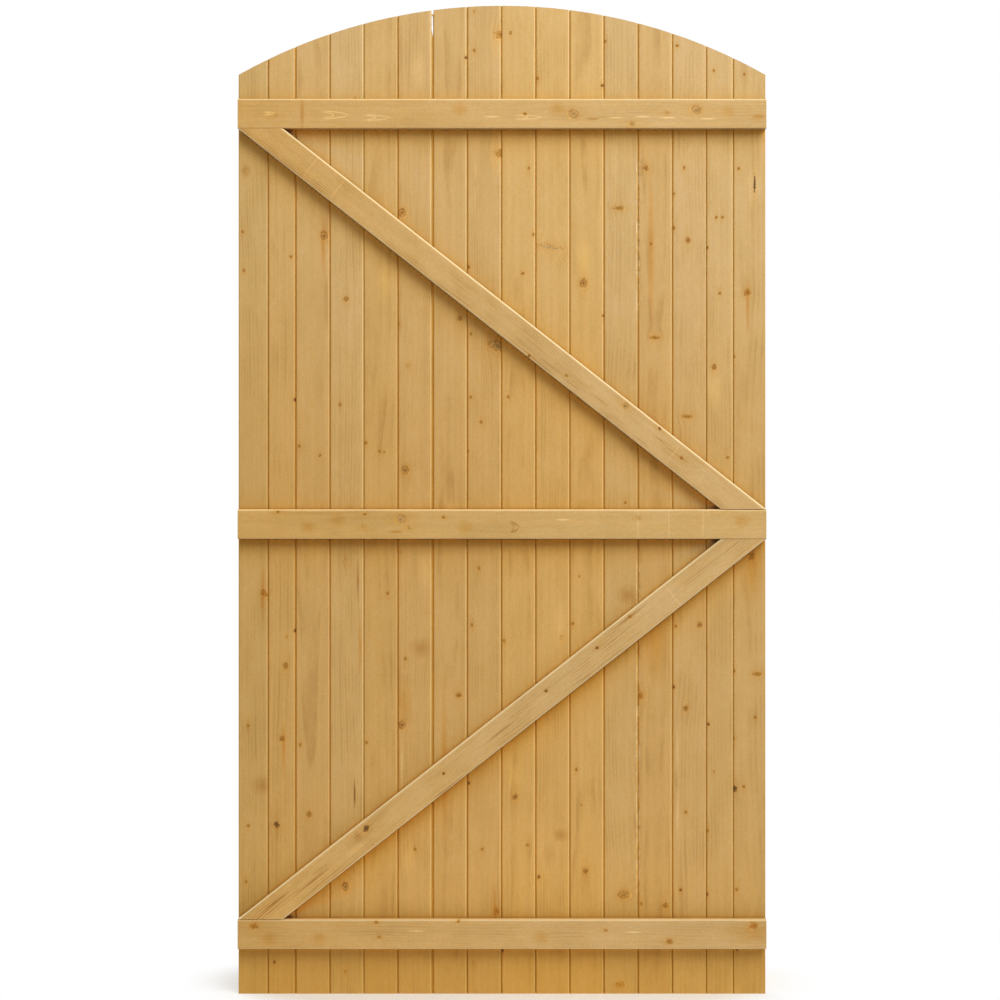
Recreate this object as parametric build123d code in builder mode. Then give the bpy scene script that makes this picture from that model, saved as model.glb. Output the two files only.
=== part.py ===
from build123d import *
import os
from math import atan, ceil, cos, degrees, radians, sin, sqrt

# Arched garden gate leaf: vertical tongue and groove boards on three ledges and two braces.
# Millimetres. +Z up, +X to the right seen from the ledged side, which faces -Y. The boarded
# side faces +Y. The origin is under the middle of the leaf, on the level of the boards' feet.

# The leaf
gate_width = 976.0        # for an opening of about a metre, with room for hinges and latch
gate_height = 1830.0      # foot of the boards to the crown of the arch
arch_rise = 128.0         # crown above the two shoulders

# Boards: planed tongue and groove with a V on the boarded side
board_thickness = 12.0
full_face = 61.5          # visible width of a full board, shoulder to shoulder
narrow_face = 48.6        # the two boards next to the outer ones
field_shift = -2.5        # the fitter set the boards this much off the middle
usual_gap = 1.9           # shoulder to shoulder, after the boards have dried
gap_choice = [1.6, 2.6, 1.8, 1.0, 1.9, 3.6, 1.9, 1.8, 1.9, 1.6, 1.9, 2.0, 1.9, 1.2, 1.2]
vee = 3.0                 # chamfer on both long edges of the boarded side
eased_edge = 1.6          # chamfer on both long edges of the ledged side

# Tongue and groove
tongue_thickness = 3.6
tongue_length = 6.5
tongue_nose = 0.6         # chamfer on the tip of the tongue
tongue_inset = 3.4        # ledged face to the near side of the tongue
tongue_side_play = 0.2    # clearance on each side of the tongue
tongue_end_play = 1.0     # clearance at the bottom of the groove with the shoulders shut

# The tongue that split at the top of one joint, where light shows through
split_joint = 6           # counted from the left
split_notch = 6.5         # tongue broken right away, down from the arch
split_bridge = 3.0        # fibres that still cross the joint below the notch
split_length = 38.0       # the slit below those fibres
split_width = 2.4         # the slit, at its widest
split_drift = 1.2         # how far the slit leaves the shoulder towards its foot

# Ledges
ledge_height = 55.0
ledge_thickness = 20.0
bottom_ledge_foot = 85.5  # foot of the boards to the underside of the ledge
middle_ledge_foot = 842.5
top_ledge_drop = 46.5     # shoulder of the arch down to the top of the ledge
timber_round = 4.0        # eased long edges of ledges and braces

# Braces
brace_width = 52.0
brace_thickness = 20.0
butt_play = 0.1           # sawn end of a brace to the ledge that it bears on

# Staples: square wire, two at each board and ledge, one where a brace crosses a board
staple_crown = 11.0
staple_leg = 28.0
staple_wire = 1.6
staple_point = 2.4        # slant of the chisel points
crown_turn = 35.0         # turned across the grain, so that the legs share no grain line
staple_edge = 15.5        # shoulder of a board to the middle of its nearest staple
staple_rise = 10.0        # either side of the ledge's middle line

# Levels that follow
leaf_thickness = board_thickness + ledge_thickness
board_back = leaf_thickness / 2 - board_thickness
board_front = board_back + board_thickness
half_width = gate_width / 2
shoulder_height = gate_height - arch_rise
arch_radius = (half_width**2 + arch_rise**2) / (2 * arch_rise)
top_ledge_foot = shoulder_height - top_ledge_drop - ledge_height


def arch_height(x):
    """Height of the arch over a place across the leaf."""
    return gate_height - arch_radius + sqrt(arch_radius**2 - x**2)


# Board edges, from the left: as many full boards as leave two outer strips near a full width
full_pitch = full_face + usual_gap
narrow_pitch = narrow_face + usual_gap
full_count = ceil((gate_width - 2 * narrow_pitch - 2 * full_pitch) / full_pitch)
inner_faces = [narrow_face] + [full_face] * full_count + [narrow_face]
joint_count = len(inner_faces) + 1
joint_gaps = [gap_choice[index % len(gap_choice)] for index in range(joint_count)]
field_width = sum(inner_faces) + sum(joint_gaps)

board_edges = []
left_edge = -half_width
right_edge = -field_width / 2 + field_shift
for gap, face in zip(joint_gaps, inner_faces):
    board_edges.append((left_edge, right_edge))
    left_edge = right_edge + gap
    right_edge = left_edge + face
board_edges.append((left_edge, right_edge))
board_edges.append((right_edge + joint_gaps[-1], half_width))
board_count = len(board_edges)


def board_section(left, right, grooved, tongued):
    """Cross-section points of a board, seen from above."""
    near = board_back + tongue_inset
    far = near + tongue_thickness
    points = [(left + eased_edge, board_back), (right - eased_edge, board_back)]
    points += [(right, board_back + eased_edge)]
    if tongued:
        tip = right + tongue_length
        points += [(right, near), (tip - tongue_nose, near), (tip, near + tongue_nose)]
        points += [(tip, far - tongue_nose), (tip - tongue_nose, far), (right, far)]
        points += [(right, board_front - vee), (right - vee, board_front)]
    else:
        points += [(right, board_front - eased_edge), (right - eased_edge, board_front)]
    if grooved:
        depth = left + tongue_length + tongue_end_play
        points += [(left + vee, board_front), (left, board_front - vee)]
        points += [(left, far + tongue_side_play), (depth, far + tongue_side_play)]
        points += [(depth, near - tongue_side_play), (left, near - tongue_side_play)]
    else:
        points += [(left + eased_edge, board_front), (left, board_front - eased_edge)]
    points += [(left, board_back + eased_edge)]
    return points


# Staples
with BuildPart() as staple:
    with BuildSketch(Plane.XY):
        with BuildLine():
            half_crown = staple_crown / 2
            half_inside = half_crown - staple_wire
            Polyline(
                (-half_crown, 0),
                (-half_crown, -staple_leg),
                (-half_inside, staple_point - staple_leg),
                (-half_inside, -staple_wire),
                (half_inside, -staple_wire),
                (half_inside, staple_point - staple_leg),
                (half_crown, -staple_leg),
                (half_crown, 0),
                close=True,
            )
        make_face()
    extrude(amount=staple_wire / 2, both=True)


def staple_spot(x, z, turn):
    """Where a staple goes: crown flush with the boarded face and turned, legs inwards."""
    across = (cos(radians(turn)), 0, sin(radians(turn)))
    normal = (-sin(radians(turn)), 0, cos(radians(turn)))
    return Plane(origin=(x, board_front, z), x_dir=across, z_dir=normal)


def ledge_spots(edges, ledge_foot):
    """The two staples that hold one board to one ledge, on opposite corners of the crossing."""
    level = ledge_foot + ledge_height / 2
    left_spot = staple_spot(edges[0] + staple_edge, level + staple_rise, crown_turn)
    right_spot = staple_spot(edges[1] - staple_edge, level - staple_rise, crown_turn)
    return [left_spot, right_spot]


def brace_foot_length(rise):
    """Length of a brace's level sawn end, for a brace of the right width that ends at both edges."""
    a = rise**2 - brace_width**2
    b = 2 * gate_width * brace_width**2
    c = -(brace_width**2) * (gate_width**2 + rise**2)
    return (-b + sqrt(b**2 - 4 * a * c)) / (2 * a)


def brace_corners(left_level, right_level):
    """Corners of a brace between two ledges: left edge of the leaf to its right edge."""
    foot = brace_foot_length(abs(right_level - left_level))
    left_end = [(-half_width, left_level), (-half_width + foot, left_level)]
    right_end = [(half_width, right_level), (half_width - foot, right_level)]
    return left_end + right_end


def brace_spot(edges, corners):
    """The staple on a brace's middle line at one board, or none past the brace's full width."""
    start_x = (corners[0][0] + corners[1][0]) / 2
    end_x = (corners[2][0] + corners[3][0]) / 2
    middle = (edges[0] + edges[1]) / 2
    if not start_x < middle < end_x:
        return []
    slope = (corners[2][1] - corners[0][1]) / (end_x - start_x)
    level = corners[0][1] + slope * (middle - start_x)
    return [staple_spot(middle, level, degrees(atan(slope)) + crown_turn)]


ledge_feet = {
    "top_ledge": top_ledge_foot,
    "middle_ledge": middle_ledge_foot,
    "bottom_ledge": bottom_ledge_foot,
}
brace_outlines = {
    "upper_brace": brace_corners(
        top_ledge_foot - butt_play,
        middle_ledge_foot + ledge_height + butt_play,
    ),
    "lower_brace": brace_corners(
        bottom_ledge_foot + ledge_height + butt_play,
        middle_ledge_foot - butt_play,
    ),
}
staple_spots = {}
for name, foot in ledge_feet.items():
    staple_spots[name] = [ledge_spots(edges, foot) for edges in board_edges]
for name, corners in brace_outlines.items():
    staple_spots[name] = [brace_spot(edges, corners) for edges in board_edges]


def finish_piece(piece, name):
    """Name a finished piece and write it."""
    piece.label = name
    export_step(piece, f"parts/{name}.step")


os.makedirs("parts", exist_ok=True)

# Boards
for number, (left, right) in enumerate(board_edges, start=1):
    grooved = number > 1
    tongued = number < board_count
    board_spots = [spot for rows in staple_spots.values() for spot in rows[number - 1]]
    with BuildPart() as board:
        with BuildSketch(Plane.XY):
            with BuildLine():
                Polyline(*board_section(left, right, grooved, tongued), close=True)
            make_face()
        extrude(amount=gate_height)
        # The arch, cut through all the boards at once on the real leaf
        with BuildSketch(Plane.XZ):
            with BuildLine():
                Polyline(
                    (-half_width, shoulder_height),
                    (-half_width, 0),
                    (half_width, 0),
                    (half_width, shoulder_height),
                )
                ThreePointArc(
                    (half_width, shoulder_height),
                    (0, gate_height),
                    (-half_width, shoulder_height),
                )
            make_face()
        extrude(amount=leaf_thickness, both=True, mode=Mode.INTERSECT)
        if number == split_joint:
            notch_foot = arch_height(right) - split_notch
            slit_top = notch_foot - split_bridge
            slit_foot = slit_top - split_length
            slit_bend = slit_top - split_length * 2 / 3
            with BuildSketch(Plane.XZ):
                with BuildLine():
                    Polyline(
                        (right, gate_height),
                        (right, notch_foot),
                        (right + tongue_length, notch_foot),
                        (right + tongue_length, gate_height),
                        close=True,
                    )
                make_face()
                with BuildLine():
                    Polyline(
                        (right, slit_top),
                        (right, slit_bend),
                        (right + split_drift + split_width / 2, slit_foot),
                        (right + split_drift / 2 + split_width, slit_bend),
                        (right + split_width, slit_top),
                        close=True,
                    )
                make_face()
            extrude(amount=leaf_thickness, both=True, mode=Mode.SUBTRACT)
        with Locations(*board_spots):
            add(staple.part, mode=Mode.SUBTRACT)
    finish_piece(board.part, f"board_{number:02d}")

# Ledges
for name, foot in ledge_feet.items():
    with BuildPart() as ledge:
        with BuildSketch(Plane.XZ.offset(-board_back)):
            with Locations((0, foot + ledge_height / 2)):
                Rectangle(gate_width, ledge_height)
        extrude(amount=ledge_thickness)
        long_edges = ledge.edges().filter_by(Axis.X).group_by(Axis.Y)[0]
        fillet(long_edges, timber_round)
        with Locations(*[spot for spots in staple_spots[name] for spot in spots]):
            add(staple.part, mode=Mode.SUBTRACT)
    finish_piece(ledge.part, name)

# Braces
for name, corners in brace_outlines.items():
    with BuildPart() as brace:
        with BuildSketch(Plane.XZ.offset(-board_back)):
            with BuildLine():
                Polyline(*corners, close=True)
            make_face()
        extrude(amount=brace_thickness)
        long_edges = brace.edges().group_by(Axis.Y)[0].sort_by(SortBy.LENGTH)[-2:]
        fillet(long_edges, timber_round)
        with Locations(*[spot for spots in staple_spots[name] for spot in spots]):
            add(staple.part, mode=Mode.SUBTRACT)
    finish_piece(brace.part, name)

# Staple groups, one for each ledge and brace
for name, rows in staple_spots.items():
    with BuildPart() as staples:
        with Locations(*[spot for spots in rows for spot in spots]):
            add(staple.part)
    finish_piece(staples.part, f"{name}_staples")
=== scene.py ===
# %% [markdown]
# # An arched garden gate leaf in planed spruce
# Sixteen tongue and groove boards stand side by side under an arch. Three ledges and two braces
# hold them from behind, and short zinc staples come through from the boarded side. The CAD model
# gives every size here. It is loaded first, and this lesson gives each timber its worn edges,
# its grain, its knots and its colour.

# %% Load the CAD model
import math

import bpy
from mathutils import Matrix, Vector


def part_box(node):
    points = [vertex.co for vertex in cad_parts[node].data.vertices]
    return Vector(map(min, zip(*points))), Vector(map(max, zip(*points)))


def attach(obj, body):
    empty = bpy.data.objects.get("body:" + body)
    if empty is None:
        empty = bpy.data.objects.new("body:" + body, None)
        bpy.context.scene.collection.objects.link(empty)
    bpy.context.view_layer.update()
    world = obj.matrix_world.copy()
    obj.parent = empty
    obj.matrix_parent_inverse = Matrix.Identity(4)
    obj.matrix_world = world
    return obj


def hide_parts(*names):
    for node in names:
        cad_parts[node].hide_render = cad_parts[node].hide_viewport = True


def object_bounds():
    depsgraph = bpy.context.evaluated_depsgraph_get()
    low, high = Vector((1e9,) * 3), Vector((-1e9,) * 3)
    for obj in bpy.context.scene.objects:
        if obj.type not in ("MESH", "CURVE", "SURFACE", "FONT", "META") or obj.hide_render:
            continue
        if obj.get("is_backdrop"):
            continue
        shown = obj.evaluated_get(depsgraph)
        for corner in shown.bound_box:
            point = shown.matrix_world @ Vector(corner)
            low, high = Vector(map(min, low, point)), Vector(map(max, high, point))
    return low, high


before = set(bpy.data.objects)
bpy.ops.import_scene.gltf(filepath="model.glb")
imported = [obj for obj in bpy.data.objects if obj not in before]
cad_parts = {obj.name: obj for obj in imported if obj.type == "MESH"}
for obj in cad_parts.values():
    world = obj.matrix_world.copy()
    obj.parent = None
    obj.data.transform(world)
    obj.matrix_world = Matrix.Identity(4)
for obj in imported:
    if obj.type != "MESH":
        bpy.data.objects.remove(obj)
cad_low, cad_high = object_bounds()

MM = 0.001
print("gate leaf, metres:", [round(size, 3) for size in cad_high - cad_low])

# %% [markdown]
# ## Two small helpers
# A colour is written as a painter would note it, as a hex value, but a shader counts light, so one
# function turns hex into linear light. A tint multiplies the wood under it, and one with a
# strength above 1 makes it paler. The other function adds one node to any kind of tree. Its
# settings are named, and its inputs follow in the order that the node shows them. An input can be
# a number, another node or one of its outputs, and None leaves it as it is. The kinds of node
# that come back most get a short name.

# %% Colours and nodes
MATH = "ShaderNodeMath"
VECTOR = "ShaderNodeVectorMath"
PARTS = "ShaderNodeSeparateXYZ"
WHOLE = "ShaderNodeCombineXYZ"
RANGE = "ShaderNodeMapRange"
MIX = "ShaderNodeMix"
NOISE = "ShaderNodeTexNoise"
READ = "ShaderNodeAttribute"
POSITION = "GeometryNodeInputPosition"
RECALL = "GeometryNodeInputNamedAttribute"
KEEP = "GeometryNodeStoreNamedAttribute"
OBJECT = "GeometryNodeObjectInfo"


def linear(hex_colour, strength=1.0):
    """An sRGB hex colour as linear red, green, blue and alpha."""
    parts = [int(hex_colour[start:start + 2], 16) / 255 for start in (1, 3, 5)]
    light = [part / 12.92 if part <= 0.04045 else ((part + 0.055) / 1.055) ** 2.4 for part in parts]
    return (*[strength * part for part in light], 1.0)


def add(tree, kind, *inputs, **settings):
    """Add a node with its settings, and fill its inputs in order."""
    node = tree.nodes.new(kind)
    for name, value in settings.items():
        setattr(node, name, value)
    sockets = [socket for socket in node.inputs if socket.enabled]
    for socket, value in zip(sockets, inputs):
        if isinstance(value, bpy.types.Node):
            value = [output for output in value.outputs if output.enabled][0]
        if isinstance(value, bpy.types.NodeSocket):
            tree.links.new(value, socket)
        elif value is not None:
            socket.default_value = value
    return node


print("honey in linear light:", [round(part, 3) for part in linear("#D2A667")[:3]])

# %% [markdown]
# ## The gate's own measures
# The boards are read from the CAD boxes, so that they can't drift from the model. A board's box
# takes in its tongue, so the shoulder lies one tongue's length inside it. The arch is a circle
# through the crown and the two shoulders of the leaf. Widths and heights are in millimetres from
# here on, as on a maker's drawing, and MM turns them into metres at the last moment.

# %% Boards and arch
tongue_length = 6.5
board_back = 4.0      # how deep the boards' back and front faces lie
board_front = 16.0
crown = cad_high.z / MM
half_width = cad_high.x / MM
board_names = [f"board_{number:02d}" for number in range(1, 17)]
first_board, last_board = board_names[0], board_names[-1]
ledge_names = ["top_ledge", "middle_ledge", "bottom_ledge"]
rail_names = [*ledge_names, "upper_brace", "lower_brace"]
board_shoulders = {}
for name in board_names:
    low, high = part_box(name)
    tongue = 0 if name == last_board else tongue_length
    board_shoulders[name] = (low.x / MM, high.x / MM - tongue)
arch_rise = 128.0     # how far the crown stands above the shoulders of the leaf
arch_radius = (half_width**2 + arch_rise**2) / (2 * arch_rise)
for name, (left, right) in board_shoulders.items():
    print(name, "from", round(left, 1), "to", round(right, 1), "mm")
print("arch radius:", round(arch_radius), "mm")

# %% [markdown]
# ## Knots and marks, as found on each timber
# Spruce shows its branches as knots: tight ones have grown in and look like small eyes, dead ones
# are nearly black, and pins are the thinnest twigs. Around them the grain swerves. A maker walks
# along the leaf and notes each one: how far across from the board's left shoulder, how high above
# its foot, and what it looks like. A texture painted by hand would show the same, but it would be
# flat on the edges and fixed to one size of gate, so the kinds are described here and drawn later
# by rule. A kind gives its half width and half height in millimetres, how ragged it is, and the
# colours of its heart and rim.

# %% Kinds of knot
# Half width, half height, raggedness, colour of the heart, colour of the rim
knot_kinds = {
    "pin": (1.6, 1.9, 0.5, "#B58437", "#A5772E"),
    "twig": (2.5, 2.9, 0.4, "#B37E2A", "#98641B"),
    "twig_dark": (2.6, 3.0, 0.4, "#895418", "#66390B"),
    "knot": (4.4, 5.0, 0.4, "#B78130", "#845119"),
    "knot_dark": (4.6, 5.2, 0.4, "#70441A", "#36200A"),
    "eye": (6.6, 7.4, 0.3, "#C49146", "#7D4A12"),
    "pale_eye": (7.0, 8.0, 0.3, "#CFA662", "#96682E"),
    "big_eye": (10.0, 7.0, 0.25, "#BF8D40", "#966522"),
    "ring": (4.6, 4.6, 0.2, "#D8AC62", "#5E3E1A"),
    "oval": (8.0, 4.6, 0.25, "#BD8828", "#9D6714"),
    "half_round": (8.0, 6.5, 0.6, "#D0963A", "#A06A20"),
    "swirl": (15.0, 8.5, 0.35, "#CF9E52", "#8E5F22"),
    "eyebrow": (22.0, 4.2, 0.8, "#E6C384", "#B07C3A"),
    "flat": (8.5, 3.2, 0.4, "#B98429", "#966416"),
    "pale": (3.2, 3.8, 0.4, "#DDB66E", "#B07C36"),
    "amber": (5.5, 6.0, 0.5, "#BC7C1E", "#8A5510"),
    "bark": (1.8, 14.0, 0.5, "#2B1C12", "#3A2716"),
}
print("kinds of knot:", len(knot_kinds))

# %% [markdown]
# ### Where the knots sit
# A knot is a branch that this one board was cut through, so no rule can place it: the places are
# noted one by one. On a ledge or brace the first number is how far below its middle line the
# knot lies, and the second how far along it from its left end. A fourth number, where there is
# one, is how much a long knot leans.

# %% Knots on each timber
knots = {
    "board_01": [(8, 1411, "twig"), (10, 1339, "twig"), (18, 496, "twig"), (18, 311, "twig"),
                 (14, 207, "twig"), (47, 741, "amber"), (13, 1524, "pale")],
    "board_02": [(42, 1365, "twig"), (49, 1100, "twig_dark"), (49, 672, "twig_dark"),
                 (34, 661, "pin"), (32, 607, "knot"), (26, 472, "knot"), (15, 313, "knot_dark"),
                 (11, 58, "twig_dark")],
    "board_03": [(52, 1404, "eye"), (6, 1014, "twig"), (44, 997, "twig"), (8, 461, "twig"),
                 (24, 332, "knot")],
    "board_04": [(46, 1658, "twig"), (29, 1287, "knot"), (18, 1091, "twig"), (28, 800, "pale"),
                 (28, 198, "eye"), (28, 40, "twig")],
    "board_05": [(4, 1020, "twig"), (29, 1004, "twig"), (37, 1003, "pin"), (44, 741, "twig"),
                 (5, 465, "twig")],
    "board_06": [(7, 1447, "eye"), (0, 1240, "twig"), (18, 1162, "pale"), (13, 970, "eye"),
                 (4, 814, "pale"), (13, 620, "twig"), (7, 498, "eye"), (31, 267, "twig")],
    "board_07": [(60, 1734, "twig_dark"), (49, 1251, "knot"), (47, 553, "knot")],
    "board_08": [(12, 1820, "pin"), (12, 1747, "twig"), (2, 1346, "twig_dark"),
                 (6, 1222, "twig"), (55, 1200, "swirl", -0.25), (6, 1104, "twig"),
                 (25, 1059, "twig"), (0, 1004, "twig"), (21, 788, "twig"), (8, 683, "twig"),
                 (2, 390, "twig_dark"), (27, 267, "twig"), (54, 152, "amber"), (11, 55, "pin"),
                 (60, 1776, "half_round"), (60, 1556, "half_round")],
    "board_09": [(16, 1779, "twig"), (50, 1529, "twig"), (58, 1406, "twig"),
                 (39, 1334, "twig"), (12, 1105, "twig"), (4, 653, "twig"), (25, 364, "knot"),
                 (48, 275, "twig"), (0, 81, "knot_dark")],
    "board_10": [(3, 1695, "twig"), (28, 1382, "eyebrow", -0.18), (48, 659, "pale"),
                 (5, 216, "twig_dark")],
    "board_11": [(60, 1682, "twig_dark"), (25, 1316, "eye"), (61, 1256, "twig"),
                 (17, 773, "pin"), (5, 685, "twig"), (12, 415, "twig"), (21, 349, "pin"),
                 (29, 227, "knot")],
    "board_12": [(2, 1764, "twig"), (27, 1455, "flat"), (39, 909, "twig"), (36, 183, "big_eye"),
                 (29, 16, "oval")],
    "board_13": [(14, 1529, "knot"), (23, 1389, "twig"), (30, 1215, "flat"), (3, 552, "amber"),
                 (5, 166, "twig"), (50, 163, "knot")],
    "board_14": [(8, 1756, "twig"), (21, 1530, "twig"), (2, 1482, "twig"), (2, 1418, "twig"),
                 (28, 1395, "knot"), (27, 1069, "flat"), (5, 681, "twig"), (50, 683, "knot"),
                 (2, 568, "twig_dark"), (24, 528, "knot"), (24, 336, "twig"),
                 (14, 192, "twig_dark")],
    "board_15": [(13, 1710, "twig"), (18, 1438, "twig"), (29, 1438, "twig"),
                 (0, 1382, "twig_dark"), (24, 1297, "twig"), (14, 1160, "knot"),
                 (39, 993, "twig"), (3, 499, "twig_dark"), (14, 411, "pin"), (2, 302, "twig"),
                 (1, 184, "twig_dark")],
    "board_16": [(20, 1703, "twig"), (10, 1528, "twig"), (39, 1502, "bark"),
                 (26, 1299, "amber"), (1, 1180, "twig"), (34, 809, "amber"), (1, 597, "twig"),
                 (44, 592, "flat"), (40, 512, "twig"), (0, 472, "twig"), (2, 380, "knot_dark"),
                 (19, 383, "twig"), (6, 193, "twig"), (6, 82, "twig_dark")],
    "top_ledge": [(3, 70, "pale"), (1, 530, "twig"), (1, 620, "pale_eye"), (20, 727, "ring"),
                  (-1, 791, "pale"), (-6, 847, "pale_eye"), (7, 959, "pale")],
    "middle_ledge": [(-23, 74, "twig"), (-18, 234, "twig"), (5, 231, "pale"),
                     (-10, 301, "pale_eye"), (7, 316, "pale"), (-12, 380, "twig"),
                     (-11, 739, "pale")],
    "bottom_ledge": [(-15, 30, "amber"), (-22, 256, "twig"), (5, 261, "twig"),
                     (-24, 407, "twig"), (-7, 679, "twig"), (13, 796, "knot"),
                     (-15, 951, "amber")],
    "upper_brace": [(23, 649, "twig_dark"), (9, 726, "twig"), (-14, 846, "ring"),
                    (-21, 922, "twig_dark"), (-3, 987, "twig")],
    "lower_brace": [(-2, 432, "twig_dark"), (-11, 257, "knot_dark"), (-5, 675, "twig_dark"),
                    (-9, 798, "twig_dark"), (-17, 881, "twig")],
}
print("knots noted:", sum(len(found) for found in knots.values()))

# %% [markdown]
# ## Stains, flames and glue lines
# Stains are softer than knots: a streak of resin, an orange flame beside a branch, a paler patch
# or the thin upright line of a finger joint, where two lengths were glued end to end. The same
# rule also draws painted shadow: dark wedges in the corners where a brace meets a ledge. Each
# could be a texture of its own, but they differ only in size, softness and tint, so one drawing
# rule serves all. A kind has a half width, a half height, a softness from 0 to 1, a tint that the
# wood's own colour is multiplied by, and its strength: above 1 it is paler than the wood.

# %% Kinds of stain
# Half width, half height, softness, tint, strength of the tint
stain_kinds = {
    "smudge": (7, 8, 0.9, "#E7DAC8", 1),
    "brown_patch": (14, 12, 0.9, "#E7D7BF", 1),
    "grey_patch": (14, 32, 0.9, "#EFEBE7", 1),
    "pale_patch": (9, 26, 0.9, "#F5F8FF", 1.25),
    "light_streak": (2.2, 34, 0.8, "#F0F5FF", 1.4),
    "light_flame": (11, 26, 0.8, "#FEFFFA", 1.13),
    "orange_streak": (2.6, 34, 0.8, "#F6DDB3", 1),
    "orange_flame": (4.5, 95, 0.8, "#F9E5BC", 1),
    "dark_streak": (1.8, 26, 0.8, "#D4BFA6", 1),
    "fine_dark_line": (0.9, 40, 0.4, "#CEB895", 1),
    "resin_pocket": (1.6, 21, 0.5, "#B39B7C", 1),
    "butt_line": (26, 1.5, 0.5, "#F4F7FF", 1.24),
    "wide_flame": (15, 42, 0.8, "#F7EACB", 1),
    "feather": (1.4, 13, 0.4, "#E9F2FF", 1.6),
    "short_flame": (1.2, 13, 0.3, "#E9F2FF", 1.6),
    "flame": (1, 25, 0.3, "#ECF4FF", 1.5),
    "long_flame": (2.3, 52, 0.2, "#E9F2FF", 1.6),
    "finger_joint": (24, 3.2, 0.6, "#EFDFC2", 1),
    "feather_heart": (2.2, 10, 0.5, "#ECDAB5", 1),
    "blotch": (9, 11, 0.7, "#F6EACB", 1),
    # painted shadow: the dark wedges in the corners where a brace meets a ledge
    "painted_corner_shadow": (9, 5, 0.5, "#957E61", 1),
    "crescent": (1.7, 8, 0.3, "#DFCBA6", 1),
}
print("kinds of stain:", len(stain_kinds))

# %% [markdown]
# ### Where the stains sit
# They are noted as the knots are. On a ledge, rings that the planer only grazed show as pale
# pointed arches, called flames. There a fourth number says how far the two arms of the arch
# open, in millimetres. Without it the mark is a plain streak or patch.

# %% Stains on each timber
# the dark corner marks on boards 2 and 15 are painted shadow where the braces meet the ledges
stains = {
    "board_01": [(13, 1524, "smudge"), (45, 386, "brown_patch"), (45, 741, "orange_streak")],
    "board_02": [(28, 452, "orange_streak"), (35, 1598, "painted_corner_shadow"),
                 (37, 141, "painted_corner_shadow")],
    "board_03": [(50, 1380, "orange_streak"), (30, 820, "light_flame")],
    "board_04": [(51, 763, "dark_streak"), (55, 644, "orange_streak"),
                 (45, 370, "resin_pocket")],
    "board_05": [(40, 1320, "light_flame")],
    "board_06": [(36, 1715, "pale_patch"), (49, 783, "pale_patch"), (42, 640, "brown_patch"),
                 (7, 423, "light_streak"), (16, 255, "light_flame"), (9, 540, "wide_flame")],
    "board_07": [(30, 900, "pale_patch"), (20, 420, "orange_flame")],
    "board_08": [(14, 1526, "light_streak"), (14, 1470, "light_streak"),
                 (56, 1770, "light_flame"), (56, 1552, "light_flame"), (50, 152, "orange_streak")],
    "board_09": [(25, 400, "light_flame"), (2, 110, "dark_streak")],
    "board_10": [(46, 294, "brown_patch"), (24, 255, "grey_patch"), (45, 680, "pale_patch")],
    "board_11": [(25, 1360, "light_flame")],
    "board_12": [(44, 739, "brown_patch")],
    "board_13": [(23, 1372, "orange_flame"), (33, 642, "wide_flame")],
    "board_14": [(8, 449, "light_streak"), (8, 336, "light_streak")],
    "board_15": [(14, 1120, "light_flame"), (19, 899, "painted_corner_shadow"),
                 (17, 841, "painted_corner_shadow")],
    "board_16": [(39, 1502, "pale_patch"), (26, 1270, "orange_streak"), (34, 780, "wide_flame")],
    "top_ledge": [(0, 62, "short_flame", 3), (0, 119, "finger_joint"), (3, 182, "long_flame", 8),
                  (8, 259, "flame", 6), (-8, 410, "blotch"), (6, 470, "feather"),
                  (7, 540, "flame", 4.5), (-10, 590, "blotch"), (10, 655, "feather_heart"),
                  (8, 697, "feather"), (6, 747, "feather"), (8, 795, "feather"),
                  (10, 868, "feather"), (-4, 905, "blotch"), (6, 962, "feather_heart")],
    "middle_ledge": [(6, 130, "blotch"), (-8, 185, "blotch"), (14, 292, "feather_heart"),
                     (0, 320, "butt_line"), (6, 420, "blotch"), (6, 512, "crescent", 10),
                     (-8, 600, "feather"),
                     (0, 739, "butt_line"), (0, 796, "butt_line"), (0, 859, "butt_line"),
                     (-6, 930, "blotch")],
    "bottom_ledge": [(8, 60, "blotch"), (8, 150, "blotch"), (-6, 330, "feather"),
                     (6, 560, "blotch"), (-4, 730, "feather"), (0, 955, "wide_flame")],
    "upper_brace": [(0, 117, "butt_line"), (0, 181, "butt_line"), (0, 970, "butt_line"),
                    (12, 690, "fine_dark_line"), (16, 745, "fine_dark_line"),
                    (6, 803, "fine_dark_line"), (14, 850, "fine_dark_line"),
                    (18, 905, "fine_dark_line"), (-5, 935, "dark_streak")],
    "lower_brace": [(-8, 40, "dark_streak"), (4, 120, "dark_streak"),
                    (-10, 236, "brown_patch"), (7, 216, "pale_patch"), (0, 968, "butt_line"),
                    (-17, 881, "dark_streak"), (2, 560, "dark_streak")],
}
print("stains noted:", sum(len(found) for found in stains.values()))

# %% [markdown]
# ## How marks reach the grain
# A material can't loop over a list, and a chain of nodes for each of these marks would be huge.
# Instead each list becomes a few loose points. Geometry Nodes let every face of the timber look
# up its nearest point and keep that point's facts, and the material draws the one knot that each
# face knows. Heights are squeezed for that look-up, because a mark reaches further along the
# grain than across it. Where two stains are close, each shrinks until it fades out before the
# border between their faces, or that border would show as a straight cut.

# %% Loose points for the marks
grain_reach = 0.5
mark_facts = ("_spot", "_size", "_heart", "_rim")


def room_round(spot, found, halves, reach):
    """How far a stain must shrink so that it fades out before the next stain's faces."""
    room = 1.0
    for other in found:
        gap = Vector((other[0] - spot[0], (other[1] - spot[1]) * grain_reach))
        if gap.length > 0.1:      # the stain itself lies at no distance
            way = gap.normalized()
            extent = Vector((way.x * halves[0], way.y * halves[1] * grain_reach)).length * reach
            room = min(room, gap.length / 2 / extent)
    return room


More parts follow.
